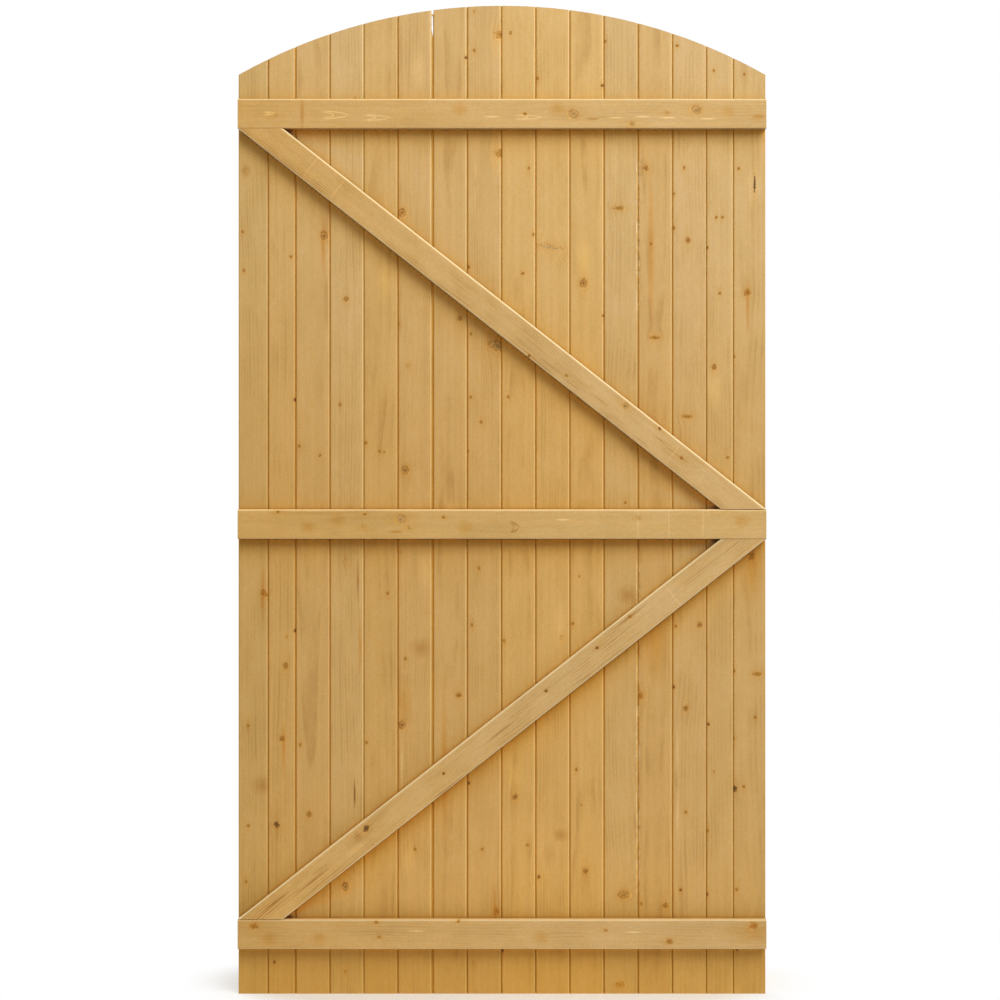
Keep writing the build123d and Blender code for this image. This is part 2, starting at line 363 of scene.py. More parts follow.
def mark_points(name, found, kinds, prefix):
    """Loose points, in millimetres of the timber, with each mark's facts as attributes."""
    places = [(mark[0], 0, mark[1] * grain_reach) for mark in found]
    mesh = bpy.data.meshes.new(name)
    mesh.from_pydata(places, [], [])
    facts = {fact_name: [] for fact_name in mark_facts}
    for across, along, kind, *extra in found:
        half_wide, half_high, ragged, colour, rim_or_strength = kinds[kind]
        lean_or_opening = extra[0] if extra else 0
        if prefix == "stain":
            halves = (half_wide + lean_or_opening, half_high)
            room = room_round((across, along), found, halves, 1 + ragged)
            half_wide, half_high = half_wide * room, half_high * room
            heart = rim = linear(colour, rim_or_strength)
        else:
            heart, rim = linear(colour), linear(rim_or_strength)
        facts["_spot"] += (across, along, lean_or_opening)
        facts["_size"] += (half_wide, half_high, ragged)
        facts["_heart"] += heart[:3]
        facts["_rim"] += rim[:3]
    for fact_name, values in facts.items():
        kept = mesh.attributes.new(prefix + fact_name, "FLOAT_VECTOR", "POINT")
        kept.data.foreach_set("vector", values)
    return bpy.data.objects.new(name, mesh)


print("facts kept for each knot and stain:", len(mark_facts))

# %% [markdown]
# ## The outline of a timber
# Each timber is one outline swept along the grain. The outline is an ordinary ring of points
# seen end on, with more points than its corners need, so that the long faces are cut into strips
# small enough for the knot look-up. Its points also carry facts that the tree and the material
# read later: how far a long edge is worn and painted pale as a highlight (arris), how deep it
# sits in a joint (joint), and whether the planer tore it (torn). A bevel on a finished box could
# round the edges too, but it would round them all alike and know nothing of joints.

# %% Rows and rounds of points
strip = 7.5           # the widest that a strip of faces gets


def between(start, end):
    """Points from start up to, but not including, end, no further apart than one strip."""
    count = max(1, round((Vector(end[:2]) - Vector(start[:2])).length / strip))
    facts = start[2:]
    return [(start[0] + (end[0] - start[0]) * step / count,
             start[1] + (end[1] - start[1]) * step / count, *facts) for step in range(count)]


def rounded(corner_x, corner_y, radius, first_angle, facts, parts):
    """A quarter circle of points round a centre."""
    angles = [math.radians(first_angle + 90 * part / parts) for part in range(parts + 1)]
    return [(corner_x + radius * math.cos(angle), corner_y + radius * math.sin(angle), *facts)
            for angle in angles]


print("points across a ledge:", len(between((0, 0), (55, 0))))

# %% [markdown]
# ### A board seen from its end
# The cutter gives a matchboard a tongue on one long edge and a groove on the other, a V on the
# front of each joint and an eased edge on the back. The first board has no groove and the last
# has no tongue, because both were sawn to width. The back edge on the right of each joint, which
# faces the light, is worn a little and painted pale as a highlight, more on some boards than on
# others. The other edge of each joint lies in its own shadow, and the joint's brown tint on it is
# painted shade.

# %% The outline of a board


def board_outline(left, right, grooved, tongued, edge_wear_and_highlight, torn_left, torn_right):
    """A board's outline from above. Facts of a point: arris, joint, torn."""
    ease, vee, sawn = 1.9, 3.0, 1.2           # how wide each kind of edge is
    near, far = board_back + 3.4, board_back + 7.0          # the two cheeks of the tongue
    guard = 0.7           # a narrow strip beside each round keeps its shading off the flat face
    play, nose = 0.2, 0.6
    # the right back edge, facing the light, is worn and painted pale as a highlight; the left one
    # takes the joint's tint as painted shade
    back_right = rounded(right - ease, board_back + ease, ease, -90, (edge_wear_and_highlight, 0, torn_right), 3)
    back_left = rounded(left + ease, board_back + ease, ease, 180, (0.0, 0.6, torn_left), 3)
    back_right[-1] = (*back_right[-1][:2], 0.6 * edge_wear_and_highlight, 0.7, torn_right)
    back_left[0] = (*back_left[0][:2], 0.0, 0.9, torn_left)
    back_left[-1] = (*back_left[-1][:2], 0.0, 0.2, torn_left)
    if not tongued:
        back_right = [(x, y, 0, 0.6, 0) for x, y, *_ in back_right]
    points = between((left + ease + guard, board_back, 0, 0, 0),
                     (right - ease - guard, board_back))
    points += [(right - ease - guard, board_back, 0, 0, 0)] + back_right
    if tongued:
        tip = right + tongue_length
        points += [(right, near, 0, 1, 0), (tip - nose, near, 0, 1, 0),
                   (tip, near + nose, 0, 1, 0), (tip, far - nose, 0, 1, 0),
                   (tip - nose, far, 0, 1, 0), (right, far, 0, 1, 0),
                   (right, board_front - vee, 0, 0.8, 0)]
    else:
        points += [(right, board_front - vee, 0, 0, 0)]
    front = [(right - vee, board_front, 0, 0, 0), (left + vee, board_front, 0, 0, 0)]
    if not tongued:
        front[0] = (right - sawn, board_front, 0, 0, 0)
        points[-1] = (right, board_front - sawn, 0, 0, 0)
    if not grooved:
        front[1] = (left + sawn, board_front, 0, 0, 0)
    points += between(*front) + [front[1]]
    if grooved:
        bottom = left + tongue_length + 1.0      # a groove is cut deeper than its tongue
        points += [(left, board_front - vee, 0, 0.8, 0), (left, far + play, 0, 1, 0),
                   (bottom, far + play, 0, 1, 0), (bottom, near - play, 0, 1, 0),
                   (left, near - play, 0, 1, 0)]
    else:
        points += [(left, board_front - sawn, 0, 0, 0)]
    return points + back_left


print("points round a board:", len(board_outline(0, 62, True, True, 0.7, 0, 0)))

# %% [markdown]
# ### A ledge or brace seen from its end
# The upper edge that hands and water reach is rounded by 4 mm and worn a little, and its middle
# is painted pale as a highlight. The lower edge stayed crisp, with a fainter painted highlight.
# The side that bears on the boards keeps its sharp corners, or light would creep in behind it.
# The ledge stands here on its side: the first number runs down it.

# %% The outline of a ledge or brace


def rail_outline(height, wear_and_highlight_strength):
    """The end of a ledge or brace: rounded behind, sharp against the boards."""
    ease, crisp, guard, half = 4.0, 1.3, 0.7, height / 2
    low_y = -board_front
    crisp_start = half - crisp - 1.2
    points = rounded(-half + ease, low_y + ease, ease, 180, (1, 0, 0), 6)
    # the middle of the upper round is painted pale as a highlight
    for index, edge_wear_and_highlight in enumerate((0.0, 0.2, 0.8, 1.0, 0.6, 0.2, 0.0)):
        points[index] = (*points[index][:2], edge_wear_and_highlight * wear_and_highlight_strength, 0, 0)
    points += between((ease + guard - half, low_y, 0, 0, 0), (crisp_start, low_y))
    points += [(crisp_start, low_y, 0, 0, 0)]
    # the crisp lower edge gets a fainter painted highlight
    points += rounded(half - crisp, low_y + crisp, crisp, -90, (wear_and_highlight_strength**2 * 0.6, 0, 0), 4)
    points += [(half, low_y + crisp + guard, 0.3, 0, 0), (half, 0.0, 0.2, 0, 0)]
    points += between((half, board_back, 0, 0.5, 0), (-half, board_back))
    return points + [(-half, board_back, 0, 0.5, 0), (-half, 0.0, 0, 0, 0),
                     (-half, low_y + ease + guard, 0, 0, 0)]


print("points round a ledge:", len(rail_outline(55, 0.5)))

# %% [markdown]
# ### From points to a ring
# Geometry Nodes sweep a closed ring of edges. The ring keeps the facts of its points, and one
# more that is worked out from its neighbours: which way the wood lies behind each point. Wear
# and tears later push the surface that way, so that they can only take wood off, as on the real
# gate, and the timber never grows past its drawn size.

# %% The ring of a timber
ring_facts = ("arris", "joint", "torn")


def outline_object(name, points):
    """The outline as a closed ring of edges, with its facts and the way into the wood."""
    mesh = bpy.data.meshes.new(name)
    count = len(points)
    ring = [(index, (index + 1) % count) for index in range(count)]
    mesh.from_pydata([(x * MM, y * MM, 0) for x, y, *_ in points], ring, [])
    for position, fact_name in enumerate(ring_facts, start=2):
        kept = mesh.attributes.new(fact_name, "FLOAT", "POINT")
        kept.data.foreach_set("value", [point[position] for point in points])
    inward = mesh.attributes.new("inward", "FLOAT_VECTOR", "POINT")
    for index in range(count):
        before, after = points[index - 1], points[(index + 1) % count]
        along = Vector((after[0] - before[0], after[1] - before[1], 0)).normalized()
        inward.data[index].vector = (-along.y, along.x, 0)
    return bpy.data.objects.new(name, mesh)


print("facts on each point of a ring:", *ring_facts, "inward")

# %% [markdown]
# ## What the two trees share
# Boards are made by one tree of Geometry Nodes, and ledges and braces by another. Both begin
# with named inputs and end alike: each face looks up its nearest knot and stain, long edges are
# shaded soft and corners crisp, and the finish goes on. One tree for all would need a switch at
# every turn, and copied nodes would drift apart, so the shared parts are plain functions.

# %% Nodes that both trees share
sharpest_round = math.radians(34)


def keep_marks(tree, geometry, points, prefix):
    """Each face keeps the facts of its nearest mark."""
    place = add(tree, RECALL, "place", data_type="FLOAT_VECTOR")
    where = add(tree, VECTOR, place, (1, 0, grain_reach), operation="MULTIPLY")
    nearest = add(tree, "GeometryNodeSampleNearest", points, where, domain="POINT")
    for fact in mark_facts:
        read = add(tree, RECALL, prefix + fact, data_type="FLOAT_VECTOR")
        value = add(tree, "GeometryNodeSampleIndex", points, read, nearest,
                    data_type="FLOAT_VECTOR")
        geometry = add(tree, KEEP, geometry, None, prefix + fact, value, data_type="FLOAT_VECTOR",
                       domain="FACE")
    return geometry


def finish_timber(tree, geometry, inputs, outputs):
    """Marks, soft long edges with sharp corners, and the finish."""
    for prefix, name in (("knot", "Knots"), ("stain", "Stains")):
        marks = add(tree, OBJECT, inputs[name])
        geometry = keep_marks(tree, geometry, marks.outputs["Geometry"], prefix)
    for name in ("Pith", "Tone"):
        geometry = add(tree, KEEP, geometry, None, name.lower(), inputs[name],
                       data_type="FLOAT_VECTOR", domain="POINT")
    smooth = add(tree, "GeometryNodeSetShadeSmooth", geometry, None, True)
    corner = add(tree, "GeometryNodeInputMeshEdgeAngle")
    sharp = add(tree, MATH, corner.outputs["Unsigned Angle"], sharpest_round,
                operation="GREATER_THAN")
    crisp = add(tree, "GeometryNodeSetShadeSmooth", smooth, sharp, False, domain="EDGE")
    real = add(tree, "GeometryNodeRealizeInstances", crisp)
    done = add(tree, "GeometryNodeSetMaterial", real, None, inputs["Finish"])
    tree.links.new(done.outputs[0], outputs.inputs[0])


def new_tree(name, sizes):
    """A geometry tree with named inputs. Returns it, its input sockets and its output node."""
    tree = bpy.data.node_groups.new(name, "GeometryNodeTree")
    tree.interface.new_socket("Timber", in_out="OUTPUT", socket_type="NodeSocketGeometry")
    tree.interface.new_socket("Outline", in_out="INPUT", socket_type="NodeSocketGeometry")
    for size_name, kind in sizes.items():
        tree.interface.new_socket(size_name, in_out="INPUT", socket_type="NodeSocket" + kind)
    inputs = add(tree, "NodeGroupInput").outputs
    return tree, inputs, add(tree, "NodeGroupOutput")


print("a turn of more than", round(math.degrees(sharpest_round)), "degrees is shaded as a corner")

# %% [markdown]
# ## The tree that makes a board
# On the real gate all the boards are planed by one cutter and then sawn to one arch, so one tree
# makes them all. It sweeps the outline up a line of rings, wears the long edges a little with
# noise, tears the marked ones, lifts each ring towards the arch, and cuts the slots that the
# staples were driven through. A bent and textured box would be quicker, but its joints would have
# no tongue in them, and light would not fall into the gaps as it does here.
#
# The sweep comes first. The spine is one metre of nothing but rings, and each ring is then
# stretched to the height of the arch above it, so that the sawn top comes out curved and clean.

# %% Sweep a board and lift it to the arch
tree, ins, outs = new_tree("Matchboard", {
    "Ring spacing": "Float", "Crown": "Float", "Arch radius": "Float", "Left shoulder": "Float",
    "Edge wander": "Float", "Tear depth": "Float", "Seed": "Float", "Pith": "Vector",
    "Tone": "Vector", "Split": "Object", "Knots": "Object", "Stains": "Object",
    "Finish": "Material"})
board_tree = tree
profile = add(tree, "GeometryNodeMeshToCurve", ins["Outline"])
ring_count = add(tree, MATH, ins["Crown"], ins["Ring spacing"], operation="DIVIDE")
spine = add(tree, "GeometryNodeCurvePrimitiveLine", (0, 0, 0), (0, 0, 1))
rings = add(tree, "GeometryNodeResampleCurve", spine, None, ring_count)
swept = add(tree, "GeometryNodeCurveToMesh", rings, profile, None, True)
spot = add(tree, PARTS, add(tree, POSITION))
squared = add(tree, MATH, spot.outputs["X"], spot.outputs["X"], operation="MULTIPLY")
radius_squared = add(tree, MATH, ins["Arch radius"], ins["Arch radius"], operation="MULTIPLY")
drop = add(tree, MATH, radius_squared, squared, operation="SUBTRACT")
drop = add(tree, MATH, drop, operation="SQRT")
centre = add(tree, MATH, ins["Crown"], ins["Arch radius"], operation="SUBTRACT")
arch = add(tree, MATH, centre, drop, operation="ADD")
height = add(tree, MATH, spot.outputs["Z"], arch, operation="MULTIPLY")
lifted = add(tree, WHOLE, spot.outputs["X"], spot.outputs["Y"], height)
standing = add(tree, "GeometryNodeSetPosition", swept, None, lifted)
print("sweep and arch:", len(tree.nodes), "nodes")

# %% [markdown]
# ### Worn and torn edges
# Hands and weather take a little off each long edge, unevenly and slowly along it. At one joint
# the planer ran against the grain and tore out short pale chips, but only over some stretches of
# its height. Carving them by hand would be the other way. Here one noise says how deep the wear
# is, and a second is cut off sharply, so that it leaves chips with whole edge between them. The
# curves that say how much goes on at each height run from 0 at the foot to 1 at the crown. Bare
# torn wood is kept as a fact, for the material to leave without glaze.

# %% Wear, tears and levels up the board
wear_waves = (90, 90, 22)       # in a metre: a change each 11 mm across, each 45 mm along
tear_waves = (40, 40, 75)       # chips 10 to 15 mm long
tear_start, tear_full = 0.50, 0.56
tear_levels = ((0, 0), (0.08, 0), (0.10, 1), (0.43, 1), (0.45, 0), (0.68, 0), (0.70, 1),
               (0.835, 1), (0.85, 0), (1, 0))
# the second curve: how much darker the boards are tinted at each height, most at their feet
foot_darkening_levels = ((0, 1.0), (0.046, 1.0), (0.08, 0.72), (0.14, 0.56), (0.26, 0.45), (0.40, 0.45),
                (0.48, 0.5), (0.58, 0.45), (0.75, 0.15), (0.92, 0.05), (1, 0))
run_height = add(tree, PARTS, add(tree, POSITION)).outputs["Z"]
height_part = add(tree, RANGE, run_height, 0.0, crown * MM, 0.0, 1.0)
level_curves = []
for levels in (tear_levels, foot_darkening_levels):
    curve = add(tree, "ShaderNodeFloatCurve", 1.0, height_part)
    curve_points = curve.mapping.curves[0].points
    curve_points[0].location, curve_points[1].location = levels[0], levels[-1]
    for level in levels[1:-1]:
        curve_points.new(*level).handle_type = "VECTOR"
    curve.mapping.update()
    level_curves.append(curve)
tear_reach, foot_darkening = level_curves
edge_place = add(tree, VECTOR, add(tree, POSITION), wear_waves, operation="MULTIPLY")
edge_noise = add(tree, NOISE, edge_place, ins["Seed"], 1.0, 2.0, 0.5, noise_dimensions="4D")
arris = add(tree, RECALL, "arris", data_type="FLOAT")
wear = add(tree, MATH, edge_noise, arris, operation="MULTIPLY")
wear = add(tree, MATH, wear, ins["Edge wander"], operation="MULTIPLY")
tear_place = add(tree, VECTOR, add(tree, POSITION), tear_waves, operation="MULTIPLY")
tear_noise = add(tree, NOISE, tear_place, ins["Seed"], 1.0, 3.0, 0.6, noise_dimensions="4D")
tear_cut = add(tree, RANGE, tear_noise, tear_start, tear_full, 0.0, 1.0)
torn = add(tree, RECALL, "torn", data_type="FLOAT")
tear = add(tree, MATH, tear_cut, tear_reach, operation="MULTIPLY")
tear = add(tree, MATH, tear, torn, operation="MULTIPLY")
gouge = add(tree, MATH, tear, ins["Tear depth"], operation="MULTIPLY")
depth = add(tree, MATH, wear, gouge, operation="ADD")
inward = add(tree, RECALL, "inward", data_type="FLOAT_VECTOR")
push = add(tree, VECTOR, inward, depth, operation="SCALE")
raw_wood = add(tree, KEEP, standing, None, "raw", tear, data_type="FLOAT", domain="POINT")
worn = add(tree, "GeometryNodeSetPosition", raw_wood, None, None, push)
print("with wear and tears:", len(tree.nodes), "nodes")

# %% [markdown]
# ### Slots for the staples
# A staple's crown is driven level with the wood, and the wood closes round it. Drawing each slot
# would repeat what the CAD model already knows, so the staples' own CAD nodes cut the boards.
# They stand a fifth of a millimetre proud while they cut, because a cutter that ends exactly on
# the surface leaves slivers. The split tongue of one board is cut in the same pass.

# %% Cut the slots
proud_by = 0.2 * MM
cutters = add(tree, "GeometryNodeJoinGeometry")
for name in rail_names:
    staple = add(tree, OBJECT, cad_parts[name + "_staples"])
    tree.links.new(staple.outputs["Geometry"], cutters.inputs[0])
closed = add(tree, "GeometryNodeMergeByDistance", cutters, None, 0.02 * MM)
proud = add(tree, "GeometryNodeTransform", closed, (0, proud_by, 0))
split = add(tree, OBJECT, ins["Split"])
slotted = add(tree, "GeometryNodeMeshBoolean", operation="DIFFERENCE", solver="MANIFOLD")
tree.links.new(worn.outputs[0], slotted.inputs["Mesh 1"])
tree.links.new(proud.outputs[0], slotted.inputs["Mesh 2"])
tree.links.new(split.outputs["Geometry"], slotted.inputs["Mesh 2"])
print("with slots:", len(tree.nodes), "nodes")

# %% [markdown]
# ### Facts for the darker feet and the painted shade
# The boards are tinted darker towards their feet, and painted shade lies along each ledge and
# brace. Ambient occlusion in the material could darken such corners, but it knows nothing of up
# and down. So each point keeps how much darker its height is tinted, how far off the nearest
# ledge or brace is, in millimetres, and whether that one is above it.

# %% Keep the foot darkening, and the distance to the ledges
# how much darker each height is tinted, and the distance that the painted shade along the ledges is
# measured from
slotted = add(tree, KEEP, slotted.outputs["Mesh"], None, "foot_darkening", foot_darkening, data_type="FLOAT",
              domain="POINT")
rails = add(tree, "GeometryNodeJoinGeometry")
for name in rail_names:
    rail = add(tree, OBJECT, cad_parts[name])
    tree.links.new(rail.outputs["Geometry"], rails.inputs[0])
nearest_rail = add(tree, "GeometryNodeProximity", rails, target_element="FACES")
rail_distance = add(tree, MATH, nearest_rail.outputs["Distance"], 1 / MM, operation="MULTIPLY")
slotted = add(tree, KEEP, slotted, None, "rail_distance", rail_distance, data_type="FLOAT",
              domain="POINT")
above = add(tree, PARTS, nearest_rail.outputs["Position"]).outputs["Z"]
rail_above = add(tree, MATH, above, run_height, operation="SUBTRACT")
rail_above = add(tree, RANGE, rail_above, 0.0, 2 * MM, 0.0, 1.0)
slotted = add(tree, KEEP, slotted, None, "rail_above", rail_above, data_type="FLOAT",
              domain="POINT")
print("with glaze facts:", len(tree.nodes), "nodes")

# %% [markdown]
# ### A place on the board
# Knots, stains and grain are all given in millimetres of the one board: across from its left
# shoulder, in from its back face, and up from its foot. Object coordinates would do for one
# board, but sixteen boards share them. End faces are marked as well, since the sawn end shows
# open, thirsty grain that the glaze turns darker.

# %% Place on the board, and its end faces
level_enough = 0.6
from_left = add(tree, WHOLE, ins["Left shoulder"], board_back * MM, 0.0)
place = add(tree, VECTOR, add(tree, POSITION), from_left, operation="SUBTRACT")
place = add(tree, VECTOR, place, 1 / MM, operation="SCALE")
placed = add(tree, KEEP, slotted, None, "place", place, data_type="FLOAT_VECTOR", domain="POINT")
facing = add(tree, PARTS, add(tree, "GeometryNodeInputNormal"))
end_face = add(tree, MATH, facing.outputs["Z"], operation="ABSOLUTE")
end_face = add(tree, MATH, end_face, level_enough, operation="GREATER_THAN")
ended = add(tree, KEEP, placed, None, "end_grain", end_face, data_type="FLOAT", domain="FACE")
finish_timber(tree, ended, ins, outs)
print("board tree:", len(tree.nodes), "nodes")

# %% [markdown]
# ## The tree that makes a ledge or a brace
# A ledge is a planed length with its back edges rounded over. A brace is the same timber set at a
# slant, with both ends sawn level so that it bears squarely on the ledges. One tree makes both:
# it sweeps the outline, leans every ring by the end slope, and only then turns the timber to its
# place. A box with turned texture could stand in for a brace, but its sawn ends would show no
# rings.

# %% Sweep a ledge or brace
tree, ins, outs = new_tree("Ledge or brace", {
    "Ring spacing": "Float", "Length": "Float", "End slope": "Float", "Turn": "Float",
    "Start": "Vector", "Edge wander": "Float", "Seed": "Float", "Pith": "Vector",
    "Tone": "Vector", "Knots": "Object", "Stains": "Object", "Finish": "Material"})
rail_tree = tree
profile = add(tree, "GeometryNodeMeshToCurve", ins["Outline"])
ring_count = add(tree, MATH, ins["Length"], ins["Ring spacing"], operation="DIVIDE")
spine = add(tree, "GeometryNodeCurvePrimitiveLine", (0, 0, 0), (0, 0, 1))
rings = add(tree, "GeometryNodeResampleCurve", spine, None, ring_count)
swept = add(tree, "GeometryNodeCurveToMesh", rings, profile, None, True)
spot = add(tree, PARTS, add(tree, POSITION))
lean = add(tree, MATH, spot.outputs["X"], ins["End slope"], operation="MULTIPLY")
along = add(tree, MATH, spot.outputs["Z"], ins["Length"], operation="MULTIPLY")
along = add(tree, MATH, along, lean, operation="ADD")
ready = add(tree, WHOLE, spot.outputs["X"], spot.outputs["Y"], along)
sheared = add(tree, "GeometryNodeSetPosition", swept, None, ready)
print("sweep and end slope:", len(tree.nodes), "nodes")

# %% [markdown]
# ### Wear, place and turn
# A ledge's upper edge wears as a board's does, in slower waves. The place for the grain is kept
# before the timber is turned, so that the rings and knots follow a brace's slant, as they must:
# the tree grew straight, and the carpenter only cut the length at an angle.

# %% Wear a ledge or brace and turn it to its place
rail_waves = (60, 60, 18)       # in a metre: a change each 17 mm across, each 55 mm along
slanted_end = 0.3               # a brace's sawn end faces less far along it than a ledge's
edge_place = add(tree, VECTOR, add(tree, POSITION), rail_waves, operation="MULTIPLY")
edge_noise = add(tree, NOISE, edge_place, ins["Seed"], 1.0, 2.0, 0.5, noise_dimensions="4D")
arris = add(tree, RECALL, "arris", data_type="FLOAT")
wear = add(tree, MATH, edge_noise, arris, operation="MULTIPLY")
wear = add(tree, MATH, wear, ins["Edge wander"], operation="MULTIPLY")
inward = add(tree, RECALL, "inward", data_type="FLOAT_VECTOR")
push = add(tree, VECTOR, inward, wear, operation="SCALE")
worn = add(tree, "GeometryNodeSetPosition", sheared, None, None, push)
place = add(tree, VECTOR, add(tree, POSITION), 1 / MM, operation="SCALE")
placed = add(tree, KEEP, worn, None, "place", place, data_type="FLOAT_VECTOR", domain="POINT")
facing = add(tree, PARTS, add(tree, "GeometryNodeInputNormal"))
end_face = add(tree, MATH, facing.outputs["Z"], operation="ABSOLUTE")
end_face = add(tree, MATH, end_face, slanted_end, operation="GREATER_THAN")
ended = add(tree, KEEP, placed, None, "end_grain", end_face, data_type="FLOAT", domain="FACE")
turn = add(tree, WHOLE, 0.0, ins["Turn"], 0.0)
turned = add(tree, "GeometryNodeTransform", ended, ins["Start"], turn)
finish_timber(tree, turned, ins, outs)
print("rail tree:", len(tree.nodes), "nodes")

# %% [markdown]
# ## Planed spruce under a honey glaze
# Spruce is a pale softwood. Each summer's end leaves a narrow darker ring, and the planer cuts
# through those rings, so that they show as stripes where it meets them squarely and as long
# flames where it only grazes them. The simple way is a stretched noise on each face, but then the
# stripes don't run through to the ends and edges. Here the tree itself is modelled: every
# timber knows where its pith was, and a point's colour comes from how far from the pith it
# grew. So the face, the edge and the sawn end agree. A thin honey glaze warms the wood and
# gathers as a darker brown in the joints.
#
# One node group holds all this, and three finishes share it. It begins by reading where it is.
# The seed that each timber carries in its pith shifts every noise, so no two boards are alike.

# %% Begin the spruce group
seed_shift = (310.0, 170.0, 2300.0)      # far enough that two seeds share no grain
spruce = bpy.data.node_groups.new("Spruce grain", "ShaderNodeTree")
for name, kind in (("Colour", "NodeSocketColor"), ("Roughness", "NodeSocketFloat"),
                   ("Relief", "NodeSocketFloat")):
    spruce.interface.new_socket(name, in_out="OUTPUT", socket_type=kind)
spruce.interface.new_socket("Ring contrast", in_out="INPUT", socket_type="NodeSocketFloat")
spruce.interface.new_socket("Ring width", in_out="INPUT", socket_type="NodeSocketFloat")
tree = spruce
strength, ring_width = add(tree, "NodeGroupInput").outputs[:2]
place = add(tree, READ, attribute_name="place").outputs["Vector"]
pith = add(tree, READ, attribute_name="pith").outputs["Vector"]
seed = add(tree, PARTS, pith).outputs["Z"]
shift = add(tree, VECTOR, add(tree, WHOLE, seed, seed, seed), seed_shift, operation="MULTIPLY")
height = add(tree, PARTS, place).outputs["Z"]
face_place = add(tree, WHOLE, add(tree, PARTS, place).outputs["X"], height, 0.0)
print("places and seeds:", len(tree.nodes), "nodes")

# %% [markdown]
# ### Round a knot
# A trunk grows round its branches, so the grain swerves past each knot as water does past a
# stone. Moving the mesh would not show it, but bending the place that the rings are read from
# does. First comes how near the face's own knot is: 0 in its heart and 1 on its rim, with a
# ragged noise added, because no knot is a drawn ellipse. Then the place is pulled aside, most
# beside the knot and less and less above and below it.

# %% How near the knot is, and how the grain swerves
rim_teeth = (0.22, 0.22, 0.22)      # in a millimetre: teeth of 4 to 5 mm on a knot's rim
ragged_most = 1.1
swerve_reach = (2.0, 4.6, 1.0)      # how many knots wide and high the swerve is
swerve_pull = -0.78
knot_spot = add(tree, READ, attribute_name="knot_spot").outputs["Vector"]
knot_size = add(tree, READ, attribute_name="knot_size").outputs["Vector"]
from_knot = add(tree, VECTOR, add(tree, VECTOR, face_place, knot_spot, operation="SUBTRACT"),
                (1, 1, 0), operation="MULTIPLY")
knot_across = add(tree, PARTS, from_knot).outputs["X"]
lean = add(tree, MATH, add(tree, PARTS, knot_spot).outputs["Z"], knot_across, operation="MULTIPLY")
from_knot = add(tree, VECTOR, from_knot, add(tree, WHOLE, 0.0, lean, 0.0), operation="SUBTRACT")
ragged = add(tree, NOISE, add(tree, VECTOR, place, rim_teeth, operation="MULTIPLY"), 1.0, 2.0, 0.6,
             noise_dimensions="3D")
ragged_by = add(tree, RANGE, ragged, 0.3, 0.7, -ragged_most, ragged_most)
ragged_by = add(tree, MATH, ragged_by, add(tree, PARTS, knot_size).outputs["Z"],
                operation="MULTIPLY")
from_rim = add(tree, VECTOR, from_knot, knot_size, operation="DIVIDE")
knot_near = add(tree, MATH, add(tree, VECTOR, from_rim, operation="LENGTH"), ragged_by,
                operation="ADD")
swerve_size = add(tree, VECTOR, knot_size, swerve_reach, operation="MULTIPLY")
swerve = add(tree, VECTOR, add(tree, VECTOR, from_knot, swerve_size, operation="DIVIDE"),
             operation="LENGTH")
swerve = add(tree, MATH, swerve, 2.0, operation="POWER")
swerve = add(tree, MATH, add(tree, MATH, swerve, -1.0, operation="MULTIPLY"), operation="EXPONENT")
pull = add(tree, MATH, add(tree, MATH, knot_across, swerve, operation="MULTIPLY"), swerve_pull,
           operation="MULTIPLY")
grown = add(tree, VECTOR, place, add(tree, WHOLE, pull, 0.0, 0.0), operation="ADD")
print("with knots:", len(tree.nodes), "nodes")

# %% [markdown]
# ### Years of growth
# A trunk is a stack of cones, one for each year. Wood laid down in spring is pale, it darkens
# slowly through the summer, and it ends sharply where winter stopped it. A sine wave would give
# even stripes with two soft sides, so each year here is a saw tooth: a slow rise and a quick
# fall. The pith wanders up the trunk, which is what turns stripes to flames, and each year is a
# little stronger or weaker than the last.

# %% Years
pith_waves = (0.0, 0.0, 0.0011)     # in a millimetre: the pith sways once in 0.9 m
pith_sway = (46, 26, 0)             # how far it sways, in millimetres
ring_waves = (0.03, 0.03, 0.0035)   # the rings themselves wave every 30 mm across, 300 mm up
ring_sway = 9.0
summer_start, summer_end = 0.25, 0.86
winter_start = 0.88
weakest_year = 0.25
drift_place = add(tree, VECTOR, add(tree, VECTOR, grown, pith_waves, operation="MULTIPLY"),
                  add(tree, VECTOR, shift, (0.01, 0.01, 0.01), operation="MULTIPLY"),
                  operation="ADD")
drift = add(tree, NOISE, drift_place, 1.0, 2.0, 0.45, noise_dimensions="3D")
drift = add(tree, VECTOR, add(tree, VECTOR, drift.outputs["Color"], (0.5, 0.5, 0.5),
                              operation="SUBTRACT"), pith_sway, operation="MULTIPLY")
from_pith = add(tree, VECTOR, add(tree, VECTOR, grown, pith, operation="SUBTRACT"), (1, 1, 0),
                operation="MULTIPLY")
from_pith = add(tree, VECTOR, add(tree, VECTOR, from_pith, drift, operation="ADD"),
                operation="LENGTH")
wave_place = add(tree, VECTOR, add(tree, VECTOR, grown, ring_waves, operation="MULTIPLY"), shift,
                 operation="ADD")
wave = add(tree, NOISE, wave_place, 1.0, 3.0, 0.5, noise_dimensions="3D")
wave = add(tree, MATH, add(tree, MATH, wave, 0.5, operation="SUBTRACT"), ring_sway,
           operation="MULTIPLY")
years = add(tree, MATH, add(tree, MATH, from_pith, wave, operation="ADD"), ring_width,
            operation="DIVIDE")
season = add(tree, MATH, years, operation="FRACT")
summer = add(tree, RANGE, season, summer_start, summer_end, 0.0, 1.0,
             interpolation_type="SMOOTHSTEP")
winter = add(tree, RANGE, season, winter_start, 1.0, 1.0, 0.0, interpolation_type="SMOOTHSTEP")
late = add(tree, MATH, summer, winter, operation="MULTIPLY")
